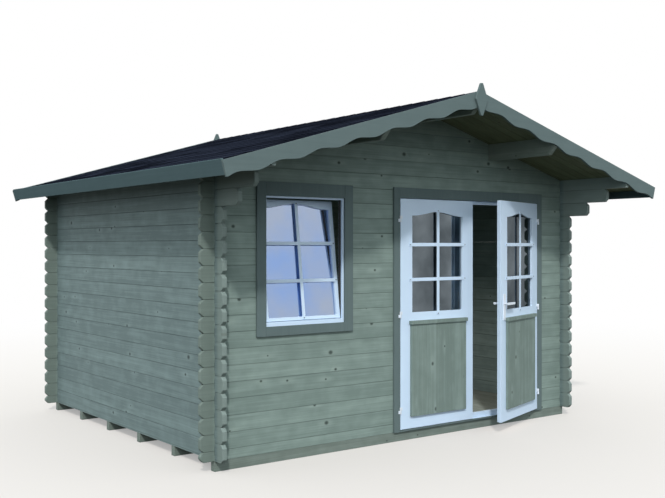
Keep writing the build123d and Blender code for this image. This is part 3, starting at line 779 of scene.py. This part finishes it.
def fuse(pieces: Sequence[Piece]) -> Piece:
    """Make overlapping blocks one closed shape.

    Args:
        pieces: the blocks; the first keeps its name.

    Returns:
        The first piece, with the rest in it.
    """
    first = pieces[0]
    for other in pieces[1:]:
        apply_modifier(first, "BOOLEAN", operation="UNION", object=other, solver="EXACT")
        bpy.data.objects.remove(other)
    return first


def settle(piece: Piece, place: Sequence[float] = ORIGIN, turn: Sequence[float] = ORIGIN) -> None:
    """Turn a piece about the origin, move it to its place and apply both.

    Args:
        piece: piece that was modelled round the origin.
        place: where its origin goes.
        turn: turns about the three axes, in radians.
    """
    make_active(piece)
    piece.rotation_euler = turn
    piece.location = place
    bpy.ops.object.transform_apply(location=True, rotation=True, scale=True)


def dress(piece: Piece, material: Material) -> None:
    """Give a piece one material."""
    piece.data.materials.clear()
    piece.data.materials.append(material)


def dress_node(node: str, material: Material) -> None:
    """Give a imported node, which keeps its shape, one material."""
    dress(frame["nodes"][node], material)
    log.info("%s keeps its packed shape", node)


def hand_over(piece: Piece, body: str, material: Material, nodes: Sequence[str] = ()) -> None:
    """Dress a piece, set it on its body and hide the nodes that it stands for.

    Args:
        piece: the finished piece.
        body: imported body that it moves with.
        material: its material.
        nodes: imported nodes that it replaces.
    """
    dress(piece, material)
    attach(piece, body)
    if nodes:
        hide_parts(*nodes)
    log.info("%s rides on %s with %d faces", piece.name, body, len(piece.data.polygons))


def ease_node(
    node: str, name: str, ease: float, material: Material, body: str = "root", segments: int = 2
) -> Piece:
    """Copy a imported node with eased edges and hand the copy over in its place.

    Args:
        node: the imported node.
        name: the piece's name.
        ease: width of the rounding.
        material: its material.
        body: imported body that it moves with.
        segments: facets in each rounding.

    Returns:
        The finished piece.
    """
    piece = merged_copy(node, name)
    ease_edges(piece, ease, segments)
    hand_over(piece, body, material, [node])
    return piece


@dataclass
class LogWalls:
    """Walls and gables of notched logs with rounded tips and a V-joint between logs."""

    joint_ease: float = 2.6 * MM
    tip_ease: float = 4.0 * MM
    tip_edge: float = 40.0 * MM
    tip_turns: Span = (math.radians(43.0), math.radians(47.0))
    side_nodes: tuple[str, ...] = ("wall_left", "wall_right")
    cross_nodes: tuple[str, ...] = (
        "front_wall_sill",
        "front_wall_left",
        "front_wall_middle",
        "front_wall_right",
        "front_wall_head",
        "back_wall",
        "front_gable",
        "back_gable",
    )

    def is_tip_edge(self, edge: bmesh.types.BMEdge) -> bool:
        """Say whether an edge borders the slanted corner of a log's tip."""
        low, high = self.tip_turns
        folded = len(edge.link_faces) == 2 and low < edge.calc_face_angle() < high
        return folded and edge.calc_length() < self.tip_edge

    def build(self) -> None:
        """Model all walls and gables."""
        side, cross = SHADED_SIDE_LOGS.material(), CROSS_LOGS.material()
        for nodes, material in ((self.side_nodes, side), (self.cross_nodes, cross)):
            for node in nodes:
                piece = merged_copy(node, f"{node}_logs")
                if select_edges(piece, self.is_tip_edge):
                    bpy.ops.mesh.bevel(offset=self.tip_ease, segments=2, affect="EDGES", clamp_overlap=False)
                bpy.ops.object.mode_set(mode="OBJECT")
                ease_edges(piece, self.joint_ease, 1)
                hand_over(piece, "root", material, [node])


@dataclass
class Base:
    """Foundation joists and the boarded floor on them."""

    board: float = 90.6 * MM
    groove: Groove = Groove(4.0 * MM, 3.0 * MM)
    ease: float = 2.0 * MM

    def build(self) -> None:
        """Model the joists and the floor."""
        ease_node("foundation_joists", "joists_eased", self.ease, JOISTS.material())
        low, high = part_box("floor")
        floor = merged_copy("floor", "floor_boards")
        count = int((high.x - low.x) / self.board)
        places = [(step - count // 2) * self.board for step in range(count + 1)]
        places = [place for place in places if low.x + self.board / 2 < place < high.x - self.board / 2]
        self.groove.score(floor, RIGHT, places, UP)
        hand_over(floor, "root", FLOOR_BOARDS.material(), ["floor"])


@dataclass
class Roof:
    """Purlins, boarded deck, shingles in courses, ridge tabs and edge boards."""

    board: float = 95.08 * MM
    groove: Groove = Groove(6.0 * MM, 4.0 * MM)
    purlin_ease: float = 4.0 * MM
    trim_ease: float = 2.0 * MM
    planed: float = 9.0 * MM
    courses: int = 16
    tab_width: float = 333.0 * MM
    tab_slot: float = 7.0 * MM
    tab_slip: float = 0.11
    spare_tabs: int = 3
    underlay: float = 1.5 * MM
    tab_thin: float = 1.2 * MM
    tab_thick: float = 5.5 * MM
    ridge_tab: float = 145.0 * MM
    cap_thick: float = 5.0 * MM
    cap_lap_share: float = 0.6

    def timber(self) -> None:
        """Model purlins, deck boards, edge boards and finials."""
        beam = PURLINS.material()
        for node in ("purlin_left", "purlin_right", "ridge_purlin"):
            ease_node(node, f"{node}_beam", self.purlin_ease, beam)
        deck_material = SHADED_ROOF_BOARDS.material()
        low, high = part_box("roof_deck_left")
        count = round((high.y - low.y) / self.board)
        places = [low.y + step * (high.y - low.y) / count for step in range(1, count)]
        for side, hand in (("left", -1), ("right", 1)):
            deck = merged_copy(f"roof_deck_{side}", f"roof_boards_{side}")
            under = Vector((-hand * math.sin(SLOPE), 0.0, -math.cos(SLOPE)))
            self.groove.score(deck, BACK, places, under)
            hand_over(deck, "root", deck_material, [f"roof_deck_{side}"])
        slope, eaves = SLOPE_BOARDS.material(), SHADED_EAVES_BOARDS.material()
        for end in ("front", "back"):
            for side, hand in (("left", -1), ("right", 1)):
                self.bargeboard(f"bargeboard_{end}_{side}", hand, slope)
        ease_node("finials", "finials_eased", self.trim_ease, slope)
        for node in ("eaves_board_left", "eaves_board_right"):
            ease_node(node, f"{node}_eased", self.trim_ease, eaves)

    def bargeboard(self, node: str, hand: int, material: Material) -> None:
        """Model a bargeboard, its top edge planed down to the face of the shingles.

        Args:
            node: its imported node.
            hand: side of the roof, minus one for the left.
            material: its material.
        """
        piece = merged_copy(node, f"{node}_eased")
        out = Vector((hand * math.sin(SLOPE), 0.0, math.cos(SLOPE)))
        cut(piece, [(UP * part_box(node)[1].z - out * self.planed, out)], trim=True)
        ease_edges(piece, self.trim_ease)
        hand_over(piece, "root", material, [node])

    def shingle_slope(self, name: str, length: float, front: float, back: float) -> Piece:
        """Model the shingles of the right slope, flat, with the ridge line on the origin.

        Args:
            name: the piece's name.
            length: from the ridge line to the drip edge.
            front: front end of the slope.
            back: back end of the slope.

        Returns:
            The shingles of one slope, lying level.
        """
        exposure = length / self.courses
        top = self.underlay + self.tab_thick
        rows = [add_block(name, (0.0, front, 0.0), (length, back, self.underlay))]
        count = int((back - front) / self.tab_width) + self.spare_tabs
        for course in range(self.courses):
            stagger = course % STAGGER_CYCLE / STAGGER_CYCLE + self.tab_slip * (course % SLIP_CYCLE)
            offset = front - self.tab_width * stagger
            start = course * exposure
            tab = add_block(
                f"{name}_course_{course}",
                (start, offset, self.underlay),
                (start + exposure, offset + self.tab_width - self.tab_slot, top),
            )
            for corner in tab.data.vertices:
                if corner.co.x < start + exposure / 2 and corner.co.z > self.underlay + self.tab_thick / 2:
                    corner.co.z = self.underlay + self.tab_thin
            repeat(tab, count, self.tab_width)
            cut(tab, [(BACK * front, -BACK), (BACK * back, BACK)], trim=True)
            rows.append(tab)
        make_active(*rows)
        bpy.ops.object.join()
        return rows[0]

    def covering(self) -> None:
        """Model the shingles of both slopes and the tabs over the ridge."""
        low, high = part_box("shingles_right")
        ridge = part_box("roof_deck_right")[1].z
        length = (high.x - math.sin(SLOPE) * (high.z - ridge)) / math.cos(SLOPE)
        run = length / self.courses * math.cos(SLOPE)
        felt = SHINGLE_FELT.material(low.y, run, self.tab_width, self.tab_slip)
        for side, half_turn in (("right", 0.0), ("left", math.pi)):
            slope = self.shingle_slope(f"shingle_courses_{side}", length, low.y, high.y)
            settle(slope, turn=(0.0, SLOPE, 0.0))
            settle(slope, (0.0, 0.0, ridge), (0.0, 0.0, half_turn))
            hand_over(slope, "root", felt, [f"shingles_{side}"])
        hand_over(self.ridge_tabs(), "root", felt, ["ridge_cap"])

    def ridge_tabs(self) -> Piece:
        """Model the bent tabs over the ridge, each lapping the one behind it.

        Returns:
            The row of tabs.
        """
        low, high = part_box("ridge_cap")
        count = round((high.y - low.y) / self.ridge_tab)
        pitch = (high.y - low.y) / count
        foot = high.z - self.cap_thick
        tab = add_block("ridge_tabs", (low.x, low.y, foot), (high.x, low.y + pitch, high.z))
        cut(tab, [(ORIGIN, RIGHT)])
        for corner in tab.data.vertices:
            if corner.co.z > high.z - self.cap_thick / 2 and corner.co.y > low.y + pitch / 2:
                corner.co.z -= self.cap_thick * self.cap_lap_share
            corner.co.z -= abs(corner.co.x) * math.tan(SLOPE)
        repeat(tab, count, pitch)
        return tab

    def build(self) -> None:
        """Model the whole roof."""
        self.timber()
        self.covering()


@dataclass(frozen=True)
class Joinery:
    """Materials that the window and the doors share."""

    paint: Material
    metal: Material
    trim: Material
    zinc: Material


@dataclass(frozen=True)
class Light:
    """Glazed opening: its sides, its foot and crown, and the middles of its level bars."""

    span: Span
    rise: Span
    levels: Sequence[float]

    @property
    def middle(self) -> float:
        """Middle between the sides."""
        return (self.span[0] + self.span[1]) / 2


@dataclass
class GlazingBars:
    """Grid of bars in front of a pane: strips that lap the frame, deeper ribs between them, and screws."""

    strip: float = 27.0 * MM
    proud: float = 5.0 * MM
    rib: float = 21.0 * MM
    rib_depth: float = 4.0 * MM
    rib_root: float = 1.0 * MM
    lap: float = 34.0 * MM
    ease: float = 1.6 * MM
    foot_share: float = 0.8
    crown_share: float = 0.6
    screw: float = 9.0 * MM
    screw_sides: int = 16
    screw_rise: float = 2.2 * MM
    screw_inset: float = 9.0 * MM
    screw_round_share: float = 0.6
    recess_rim_share: float = 0.12
    recess_depth_share: float = 0.5

    def upright(self, light: Light) -> Span:
        """Give the lower and upper end of the upright strip."""
        return light.rise[0] - self.lap * self.foot_share, light.rise[1] + self.lap * self.crown_share

    def grid(self, name: str, light: Light) -> Piece:
        """Model a grid round the origin, its frame's face on the plane of width and height.

        Args:
            name: the piece's name.
            light: the opening that it divides.

        Returns:
            The grid.
        """
        half, rib, middle = self.strip / 2, self.rib / 2, light.middle
        (left, right), (foot, crown) = light.span, light.rise
        low, high = self.upright(light)
        blocks = [
            add_block(name, (middle - half, -self.proud, low), (middle + half, 0.0, high)),
            add_block("rib", (middle - rib, -self.rib_root, foot), (middle + rib, self.rib_depth, crown)),
        ]
        for level in light.levels:
            ends = (left - self.lap, -self.proud, level - half), (right + self.lap, 0.0, level + half)
            blocks.append(add_block("level_strip", *ends))
            ends = (left, -self.rib_root, level - rib), (right, self.rib_depth, level + rib)
            blocks.append(add_block("level_rib", *ends))
        grid = fuse(blocks)
        ease_edges(grid, self.ease)
        return grid

    def screw_head(self, name: str) -> Piece:
        """Model a screw's head with its recess, facing the front.

        Args:
            name: the piece's name.

        Returns:
            The head.
        """
        bpy.ops.object.select_all(action="DESELECT")
        bpy.ops.mesh.primitive_cylinder_add(
            vertices=self.screw_sides,
            radius=self.screw / 2,
            depth=self.screw_rise,
            rotation=(math.pi / 2, 0.0, 0.0),
        )
        head = take_active(name)
        front = -self.proud - self.screw_rise / 2
        head.location = (0.0, front + MERGE, 0.0)
        bpy.ops.object.transform_apply(location=True, rotation=True, scale=True)
        select_edges(head, lambda edge: all(corner.co.y < front for corner in edge.verts))
        bpy.ops.mesh.bevel(offset=self.screw_rise * self.screw_round_share, segments=2, affect="EDGES")
        bpy.ops.mesh.select_all(action="DESELECT")
        bpy.ops.mesh.select_mode(type="FACE")
        mesh = bmesh.from_edit_mesh(head.data)
        for face in mesh.faces:
            face.select_set(face.normal.y < -FACING)
        bmesh.update_edit_mesh(head.data)
        bpy.ops.mesh.inset(thickness=self.screw * self.recess_rim_share)
        bpy.ops.transform.translate(value=BACK * (self.screw_rise * self.recess_depth_share))
        bpy.ops.object.mode_set(mode="OBJECT")
        return head

    def screws(self, name: str, light: Light) -> Piece:
        """Model the screws at the ends of a grid's bars, on the same plane as the grid.

        Args:
            name: the piece's name.
            light: the opening that the grid divides.

        Returns:
            The screws' heads.
        """
        low, high = self.upright(light)
        spots = [(light.middle, high - self.screw_inset)]
        for level in light.levels:
            spots.append((light.span[0] - self.lap + self.screw_inset, level))
            spots.append((light.span[1] + self.lap - self.screw_inset, level))
        head = self.screw_head(name)
        heads = [head]
        for across, level in spots:
            make_active(head)
            bpy.ops.object.duplicate()
            heads.append(bpy.context.view_layer.objects.active)
            settle(heads[-1], (across, 0.0, level))
        settle(head, (light.middle, 0.0, low + self.screw_inset))
        make_active(*heads)
        bpy.ops.object.join()
        bpy.ops.object.shade_smooth_by_angle(angle=SMOOTH_TURN)
        return head

    def mount(
        self,
        names: tuple[str, str],
        light: Light,
        body: str,
        joinery: Joinery,
        place: Callable[[Piece], None],
    ) -> None:
        """Model a grid and its screws, set both in place and hand them over.

        Args:
            names: names of the grid and of its screws.
            light: the opening that the grid divides.
            body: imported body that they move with.
            joinery: the materials.
            place: moves a piece from the origin to its place.
        """
        for model, name, slot, material in (
            (self.grid, names[0], Slot.WHITE_PAINT, joinery.paint),
            (self.screws, names[1], Slot.WHITE_METAL, joinery.zinc),
        ):
            piece = model(name, light)
            place(piece)
            hand_over(piece, body, material)


@dataclass
class Window:
    """Window in the front wall: frame, tilted sash with bars, glass, handle and trim boards."""

    tilt: float = math.radians(7.2)
    sash_thick: float = 30.0 * MM
    levels: tuple[float, ...] = (1274.0 * MM, 1546.0 * MM)
    lip: float = 18.0 * MM
    rebate_facing: float = 0.95
    ease: float = 2.0 * MM
    bars: GlazingBars = field(default_factory=lambda: GlazingBars(strip=25.0 * MM, lap=22.0 * MM))

    def build(self, joinery: Joinery) -> None:
        """Model the window.

        Args:
            joinery: the materials.
        """
        for node, slot, material in (
            ("window_frame", Slot.WHITE_PAINT, joinery.paint),
            ("window_sash", Slot.WHITE_PAINT, joinery.paint),
            ("window_handle", Slot.WHITE_METAL, joinery.metal),
            ("window_trim", Slot.TRIM_STAIN, joinery.trim),
        ):
            piece = ease_node(node, f"{node}_eased", self.ease, material)
            if node == "window_frame":
                self.stain_rebate(piece)
        low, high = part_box("window_sash")
        glass_low, glass_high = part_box("window_glass")
        pivot = Vector(((low.x + high.x) / 2, low.y, low.z + self.sash_thick * math.sin(self.tilt)))
        up = math.cos(self.tilt)
        rise = ((glass_low.z - pivot.z) / up, (glass_high.z - pivot.z) / up)
        half = (glass_high.x - glass_low.x) / 2
        light = Light((-half, half), rise, [(level - pivot.z) / up for level in self.levels])
        turn = (-self.tilt, 0.0, 0.0)
        names = ("sash_bars", "sash_bar_screws")
        self.bars.mount(names, light, "root", joinery, lambda piece: settle(piece, pivot, turn))
        dress_node("window_glass", WINDOW_GLASS.material())

    def stain_rebate(self, piece: Piece) -> None:
        """Give the frame's upright sides, behind its front lip, a dark brown as painted shade in the rebate.

        Args:
            piece: the frame.
        """
        piece.data.materials.append(REBATE_SHADE.material())
        low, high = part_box("window_frame")
        step = low.y + self.lip
        cut(piece, [(BACK * step, BACK)])
        for face in piece.data.polygons:
            inside = low.x + self.lip < face.center.x < high.x - self.lip
            if inside and abs(face.normal.x) > self.rebate_facing and face.center.y > step:
                face.material_index = 1


class Side(Enum):
    """Side of the doorway where a leaf hangs, with the sign that points across the leaf from its hinges."""

    LEFT = 1
    RIGHT = -1

    @property
    def body(self) -> str:
        """Name of the leaf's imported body."""
        return f"{self.name.lower()}_door"

    @property
    def joint(self) -> dict[str, Any]:
        """Packed joint that the leaf hangs on."""
        return next(joint for joint in frame["joints"] if joint["child"] == self.body)


@dataclass
class DoorLeaf:
    """One leaf: arched light with bars, boarded panel, hinges, and on the right leaf its handle."""

    side: Side
    levels: tuple[float, ...] = (1262.0 * MM, 1538.0 * MM)
    board_count: int = 6
    groove: Groove = Groove(2.4 * MM, 1.2 * MM)
    ease: float = 2.0 * MM
    handle_ease: float = 5.0 * MM
    handle_segments: int = 3
    ledge: float = 28.5 * MM
    lining: float = 6.0 * MM
    lining_inset: float = 12.0 * MM
    bars: GlazingBars = field(default_factory=GlazingBars)

    def turn(self) -> float:
        """Give how far the leaf stands open at rest, about the upright axis."""
        joint = self.side.joint
        return -math.radians(joint["range_deg"][0] * joint["axis"][2])

    def build(self, joinery: Joinery, boards: Material) -> None:
        """Model the leaf.

        Args:
            joinery: the materials of its frame, bars, screws and hinges.
            boards: material of the lower panel.
        """
        body = self.side.body
        ease_node(f"{body}_leaf", f"{body}_leaf_eased", self.ease, joinery.paint, body)
        self.panel(boards)
        self.grids(joinery)
        self.inner_boards(joinery.paint)
        dress_node(f"{body}_hinges", joinery.metal)
        dress_node(f"{body}_glass", DOOR_GLASS.material())

    def joints(self, first: float, last: float) -> list[float]:
        """Give the places of the joints between a panel's boards.

        Args:
            first: one side of the panel.
            last: its other side.

        Returns:
            The joints' places between the two.
        """
        step = (last - first) / self.board_count
        return [first + step * count for count in range(1, self.board_count)]

    def panel(self, boards: Material) -> None:
        """Model the boards and the ledge of the lower panel.

        Args:
            boards: the panel's material.
        """
        body, turn = self.side.body, self.turn()
        node = f"{body}_panel"
        panel = merged_copy(node, f"{body}_panel_boards")
        across = Vector((math.cos(turn), math.sin(turn), 0.0))
        facing = Vector((math.sin(turn), -math.cos(turn), 0.0))
        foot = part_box(node)[1].z - self.ledge
        spots = [corner.co.dot(across) for corner in panel.data.vertices if corner.co.z < foot]
        places = self.joints(min(spots), max(spots))
        self.groove.score(panel, across, places, facing, foot)
        hand_over(panel, body, boards, [node])

    def across_hinge(self, node: str) -> Span:
        """Give a span across this leaf, measured from its hinge, from a node of the shut left leaf.

        Args:
            node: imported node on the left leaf.

        Returns:
            Lower and higher end of the span.
        """
        hinge = Side.LEFT.joint["pos_m"][0]
        ends = sorted(self.side.value * (corner.x - hinge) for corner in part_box(node))
        return ends[0], ends[1]

    def hang(self, piece: Piece, depth: float, half_turn: float) -> None:
        """Set a piece that was modelled round the origin on this leaf.

        Args:
            piece: the piece.
            depth: how far behind the hinge's axis its plane lies.
            half_turn: turn that makes it face the room, or none.
        """
        pivot = self.side.joint["pos_m"]
        settle(piece, (0.0, depth, 0.0), (0.0, 0.0, half_turn))
        settle(piece, (pivot[0], pivot[1], 0.0), (0.0, 0.0, self.turn()))

    def faces(self) -> Span:
        """Give how far behind the hinge's axis the leaf's outer and inner face lie."""
        hinge = Side.LEFT.joint["pos_m"][1]
        low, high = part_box("left_door_leaf")
        return low.y - hinge, high.y - hinge

    def grids(self, joinery: Joinery) -> None:
        """Model the bars on both sides of the glass, with their screws.

        Args:
            joinery: the materials.
        """
        low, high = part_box("left_door_glass")
        left, right = self.across_hinge("left_door_glass")
        outer, inner = self.faces()
        for name, span, depth, half_turn in (
            ("bars", (left, right), outer, 0.0),
            ("inner_bars", (-right, -left), inner, math.pi),
        ):
            name = f"{self.side.body}_{name}"
            light = Light(span, (low.z, high.z), self.levels)

            def place(piece: Piece, depth: float = depth, half_turn: float = half_turn) -> None:
                """Hang a piece on this face of the leaf."""
                self.hang(piece, depth, half_turn)

            self.bars.mount((name, f"{name}_screws"), light, self.side.body, joinery, place)

    def inner_boards(self, paint: Material) -> None:
        """Model the boards of the lower panel on the side to the room.

        Args:
            paint: the boards' material.
        """
        low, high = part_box("left_door_panel")
        left, right = self.across_hinge("left_door_panel")
        left, right = left + self.lining_inset, right - self.lining_inset
        name = f"{self.side.body}_inner_boards"
        lining = add_block(name, (left, 0.0, low.z), (right, self.lining, high.z - self.ledge))
        self.groove.score(lining, RIGHT, self.joints(left, right), BACK)
        self.hang(lining, self.faces()[1], 0.0)
        hand_over(lining, self.side.body, paint)

    def handle(self, metal: Material) -> None:
        """Model the handle's plates and lever.

        Args:
            metal: the handle's material.
        """
        for node, body, ease in (
            ("right_door_handle_plates", self.side.body, self.ease),
            ("right_door_lever", "door_lever", self.handle_ease),
        ):
            ease_node(node, f"{node}_rounded", ease, metal, body, self.handle_segments)


@dataclass
class Doorway:
    """Frame, trim boards and hinges of the double door, and its two leaves."""

    ease: float = 2.0 * MM
    leaves: tuple[DoorLeaf, ...] = (DoorLeaf(Side.LEFT), DoorLeaf(Side.RIGHT))

    def build(self, joinery: Joinery) -> None:
        """Model the doorway.

        Args:
            joinery: the materials.
        """
        for node, slot, material in (
            ("door_frame", Slot.WHITE_PAINT, joinery.paint),
            ("door_trim", Slot.TRIM_STAIN, joinery.trim),
        ):
            ease_node(node, f"{node}_eased", self.ease, material)
        dress_node("frame_hinges", joinery.metal)
        boards = DOOR_BOARDS.material()
        for leaf in self.leaves:
            leaf.build(joinery, boards)
        self.leaves[1].handle(joinery.metal)


@dataclass
class Studio:
    """Pale floor, soft sun, even surround and the camera at the photograph's angle."""

    eye: tuple[float, float, float] = (-4.9115, -6.6671, 1.5317)
    heading: float = math.radians(36.87)
    lens: float = 50.0
    sensor: float = 36.0
    shift: float = -0.0054
    sun_from: tuple[float, float, float] = (-0.444, -0.599, 0.667)
    sun_strength: float = 2.2
    sun_angle: float = math.radians(3.5)
    sun_tint: tuple[float, float, float] = (1.0, 0.97, 0.95)
    sun_height: float = 6.0
    halo_from: tuple[float, float, float] = (-0.74, -0.58, 0.34)
    halo_strength: float = 0.35
    halo_angle: float = math.radians(36.0)
    surround: str = "#cdd5da"
    surround_strength: float = 1.6
    fill_power: float = 22.0
    fill_size: float = 1.6
    fill_height: float = 1.25
    fill_tint: tuple[float, float, float] = (1.0, 0.9, 0.8)
    floor_size: float = 120.0
    floor_pale: str = "#cfc9c2"
    floor_bounce: str = "#444442"
    floor_glow: float = 0.35
    floor_roughness: float = 0.9
    fade_from: float = 2.0
    fade_to: float = 12.0

    def seen(self, tree: Tree) -> Socket:
        """Tell rays that see a surface, straight, mirrored or through glass, from rays that only light it.

        Args:
            tree: node tree of the surface.

        Returns:
            One for a ray that sees, and else nought.
        """
        path = add_node(tree, "LightPath", {})
        direct = {0: path["Is Camera Ray"], 1: path["Is Glossy Ray"]}
        straight = add_node(tree, "Math", direct, operation="ADD")[0]
        through = {0: straight, 1: path["Is Transmission Ray"]}
        return add_node(tree, "Math", through, operation="ADD", use_clamp=True)[0]

    def floor(self) -> None:
        """Lay the floor, which fades to white far from the cabin."""
        bpy.ops.object.select_all(action="DESELECT")
        bpy.ops.mesh.primitive_plane_add(size=self.floor_size, location=ORIGIN)
        floor = take_active("studio_floor")
        # Matt studio floor: pale where it is seen, and darker for the light that it throws back.
        material, tree, shader = new_material("pale_floor")
        seen = self.seen(tree)
        tones = {"Factor": seen, "A": colour(self.floor_bounce), "B": colour(self.floor_pale)}
        tone = add_node(tree, "Mix", tones, data_type="RGBA")["Result"]
        ends = {"Base Color": tone, "Roughness": self.floor_roughness, "Specular IOR Level": 0.0}
        fill(tree, shader, ends)
        place = add_node(tree, "TexCoord", {})["Object"]
        reach = add_node(tree, "VectorMath", {0: place}, operation="LENGTH")["Value"]
        limits = {"From Min": self.fade_from, "From Max": self.fade_to, "To Min": self.floor_glow}
        fade = add_node(tree, "MapRange", {"Value": reach} | limits, interpolation_type="SMOOTHSTEP")[0]
        faded = add_node(tree, "Math", {0: fade, 1: seen}, operation="MULTIPLY")[0]
        white = add_node(tree, "Emission", {"Color": WHITE, "Strength": 1.0})[0]
        mixed = add_node(tree, "MixShader", {0: faded, 1: shader.outputs[0], 2: white})[0]
        fill(tree, tree.nodes["Material Output"], {"Surface": mixed})
        dress(floor, material)

    def lights(self) -> None:
        """Set the sun, the light in the room and the surround, which is white where it is seen."""
        for name, source, strength, angle in (
            ("soft_sun", self.sun_from, self.sun_strength, self.sun_angle),
            ("sun_halo", self.halo_from, self.halo_strength, self.halo_angle),
        ):
            bpy.ops.object.light_add(type="SUN", location=(0.0, 0.0, self.sun_height))
            sun = take_active(name)
            sun.rotation_euler = Vector(source).to_track_quat("Z", "Y").to_euler()
            sun.data.energy = strength
            sun.data.angle = angle
            sun.data.color = self.sun_tint
        bpy.ops.object.light_add(type="AREA", location=(0.0, 0.0, self.fill_height))
        light = take_active("room_fill")
        light.data.energy = self.fill_power
        light.data.size = self.fill_size
        light.data.color = self.fill_tint
        world = bpy.data.worlds.new("even_surround")
        bpy.context.scene.world = world
        world.use_nodes = True
        tree = world.node_tree
        seen = self.seen(tree)
        tones = {"Factor": seen, "A": colour(self.surround), "B": WHITE}
        tone = add_node(tree, "Mix", tones, data_type="RGBA")["Result"]
        limits = {"Value": seen, "To Min": self.surround_strength, "To Max": 1.0}
        level = add_node(tree, "MapRange", limits)[0]
        fill(tree, tree.nodes["Background"], {"Color": tone, "Strength": level})

    def camera(self) -> None:
        """Set the camera level, at the photograph's place."""
        bpy.ops.object.camera_add(location=self.eye, rotation=(math.pi / 2, 0.0, -self.heading))
        camera = take_active("photo_camera")
        camera.data.lens = self.lens
        camera.data.sensor_width = self.sensor
        camera.data.shift_y = self.shift
        bpy.context.scene.camera = camera

    def build(self) -> None:
        """Set up the stage."""
        self.floor()
        self.lights()
        self.camera()
        bpy.context.scene.view_settings.view_transform = "Standard"


def main() -> None:
    """Build the cabin's pieces, finishes and stage in order."""
    logging.basicConfig(level=logging.INFO, format="%(name)s: %(message)s")
    finishes = (JOINERY_PAINT, POWDER_COAT, TRIM_BOARDS, SCREW_ZINC)
    joinery = Joinery(*(finish.material() for finish in finishes))
    Base().build()
    LogWalls().build()
    Roof().build()
    Window().build(joinery)
    Doorway().build(joinery)
    Studio().build()


if __name__ == "__main__":
    main()
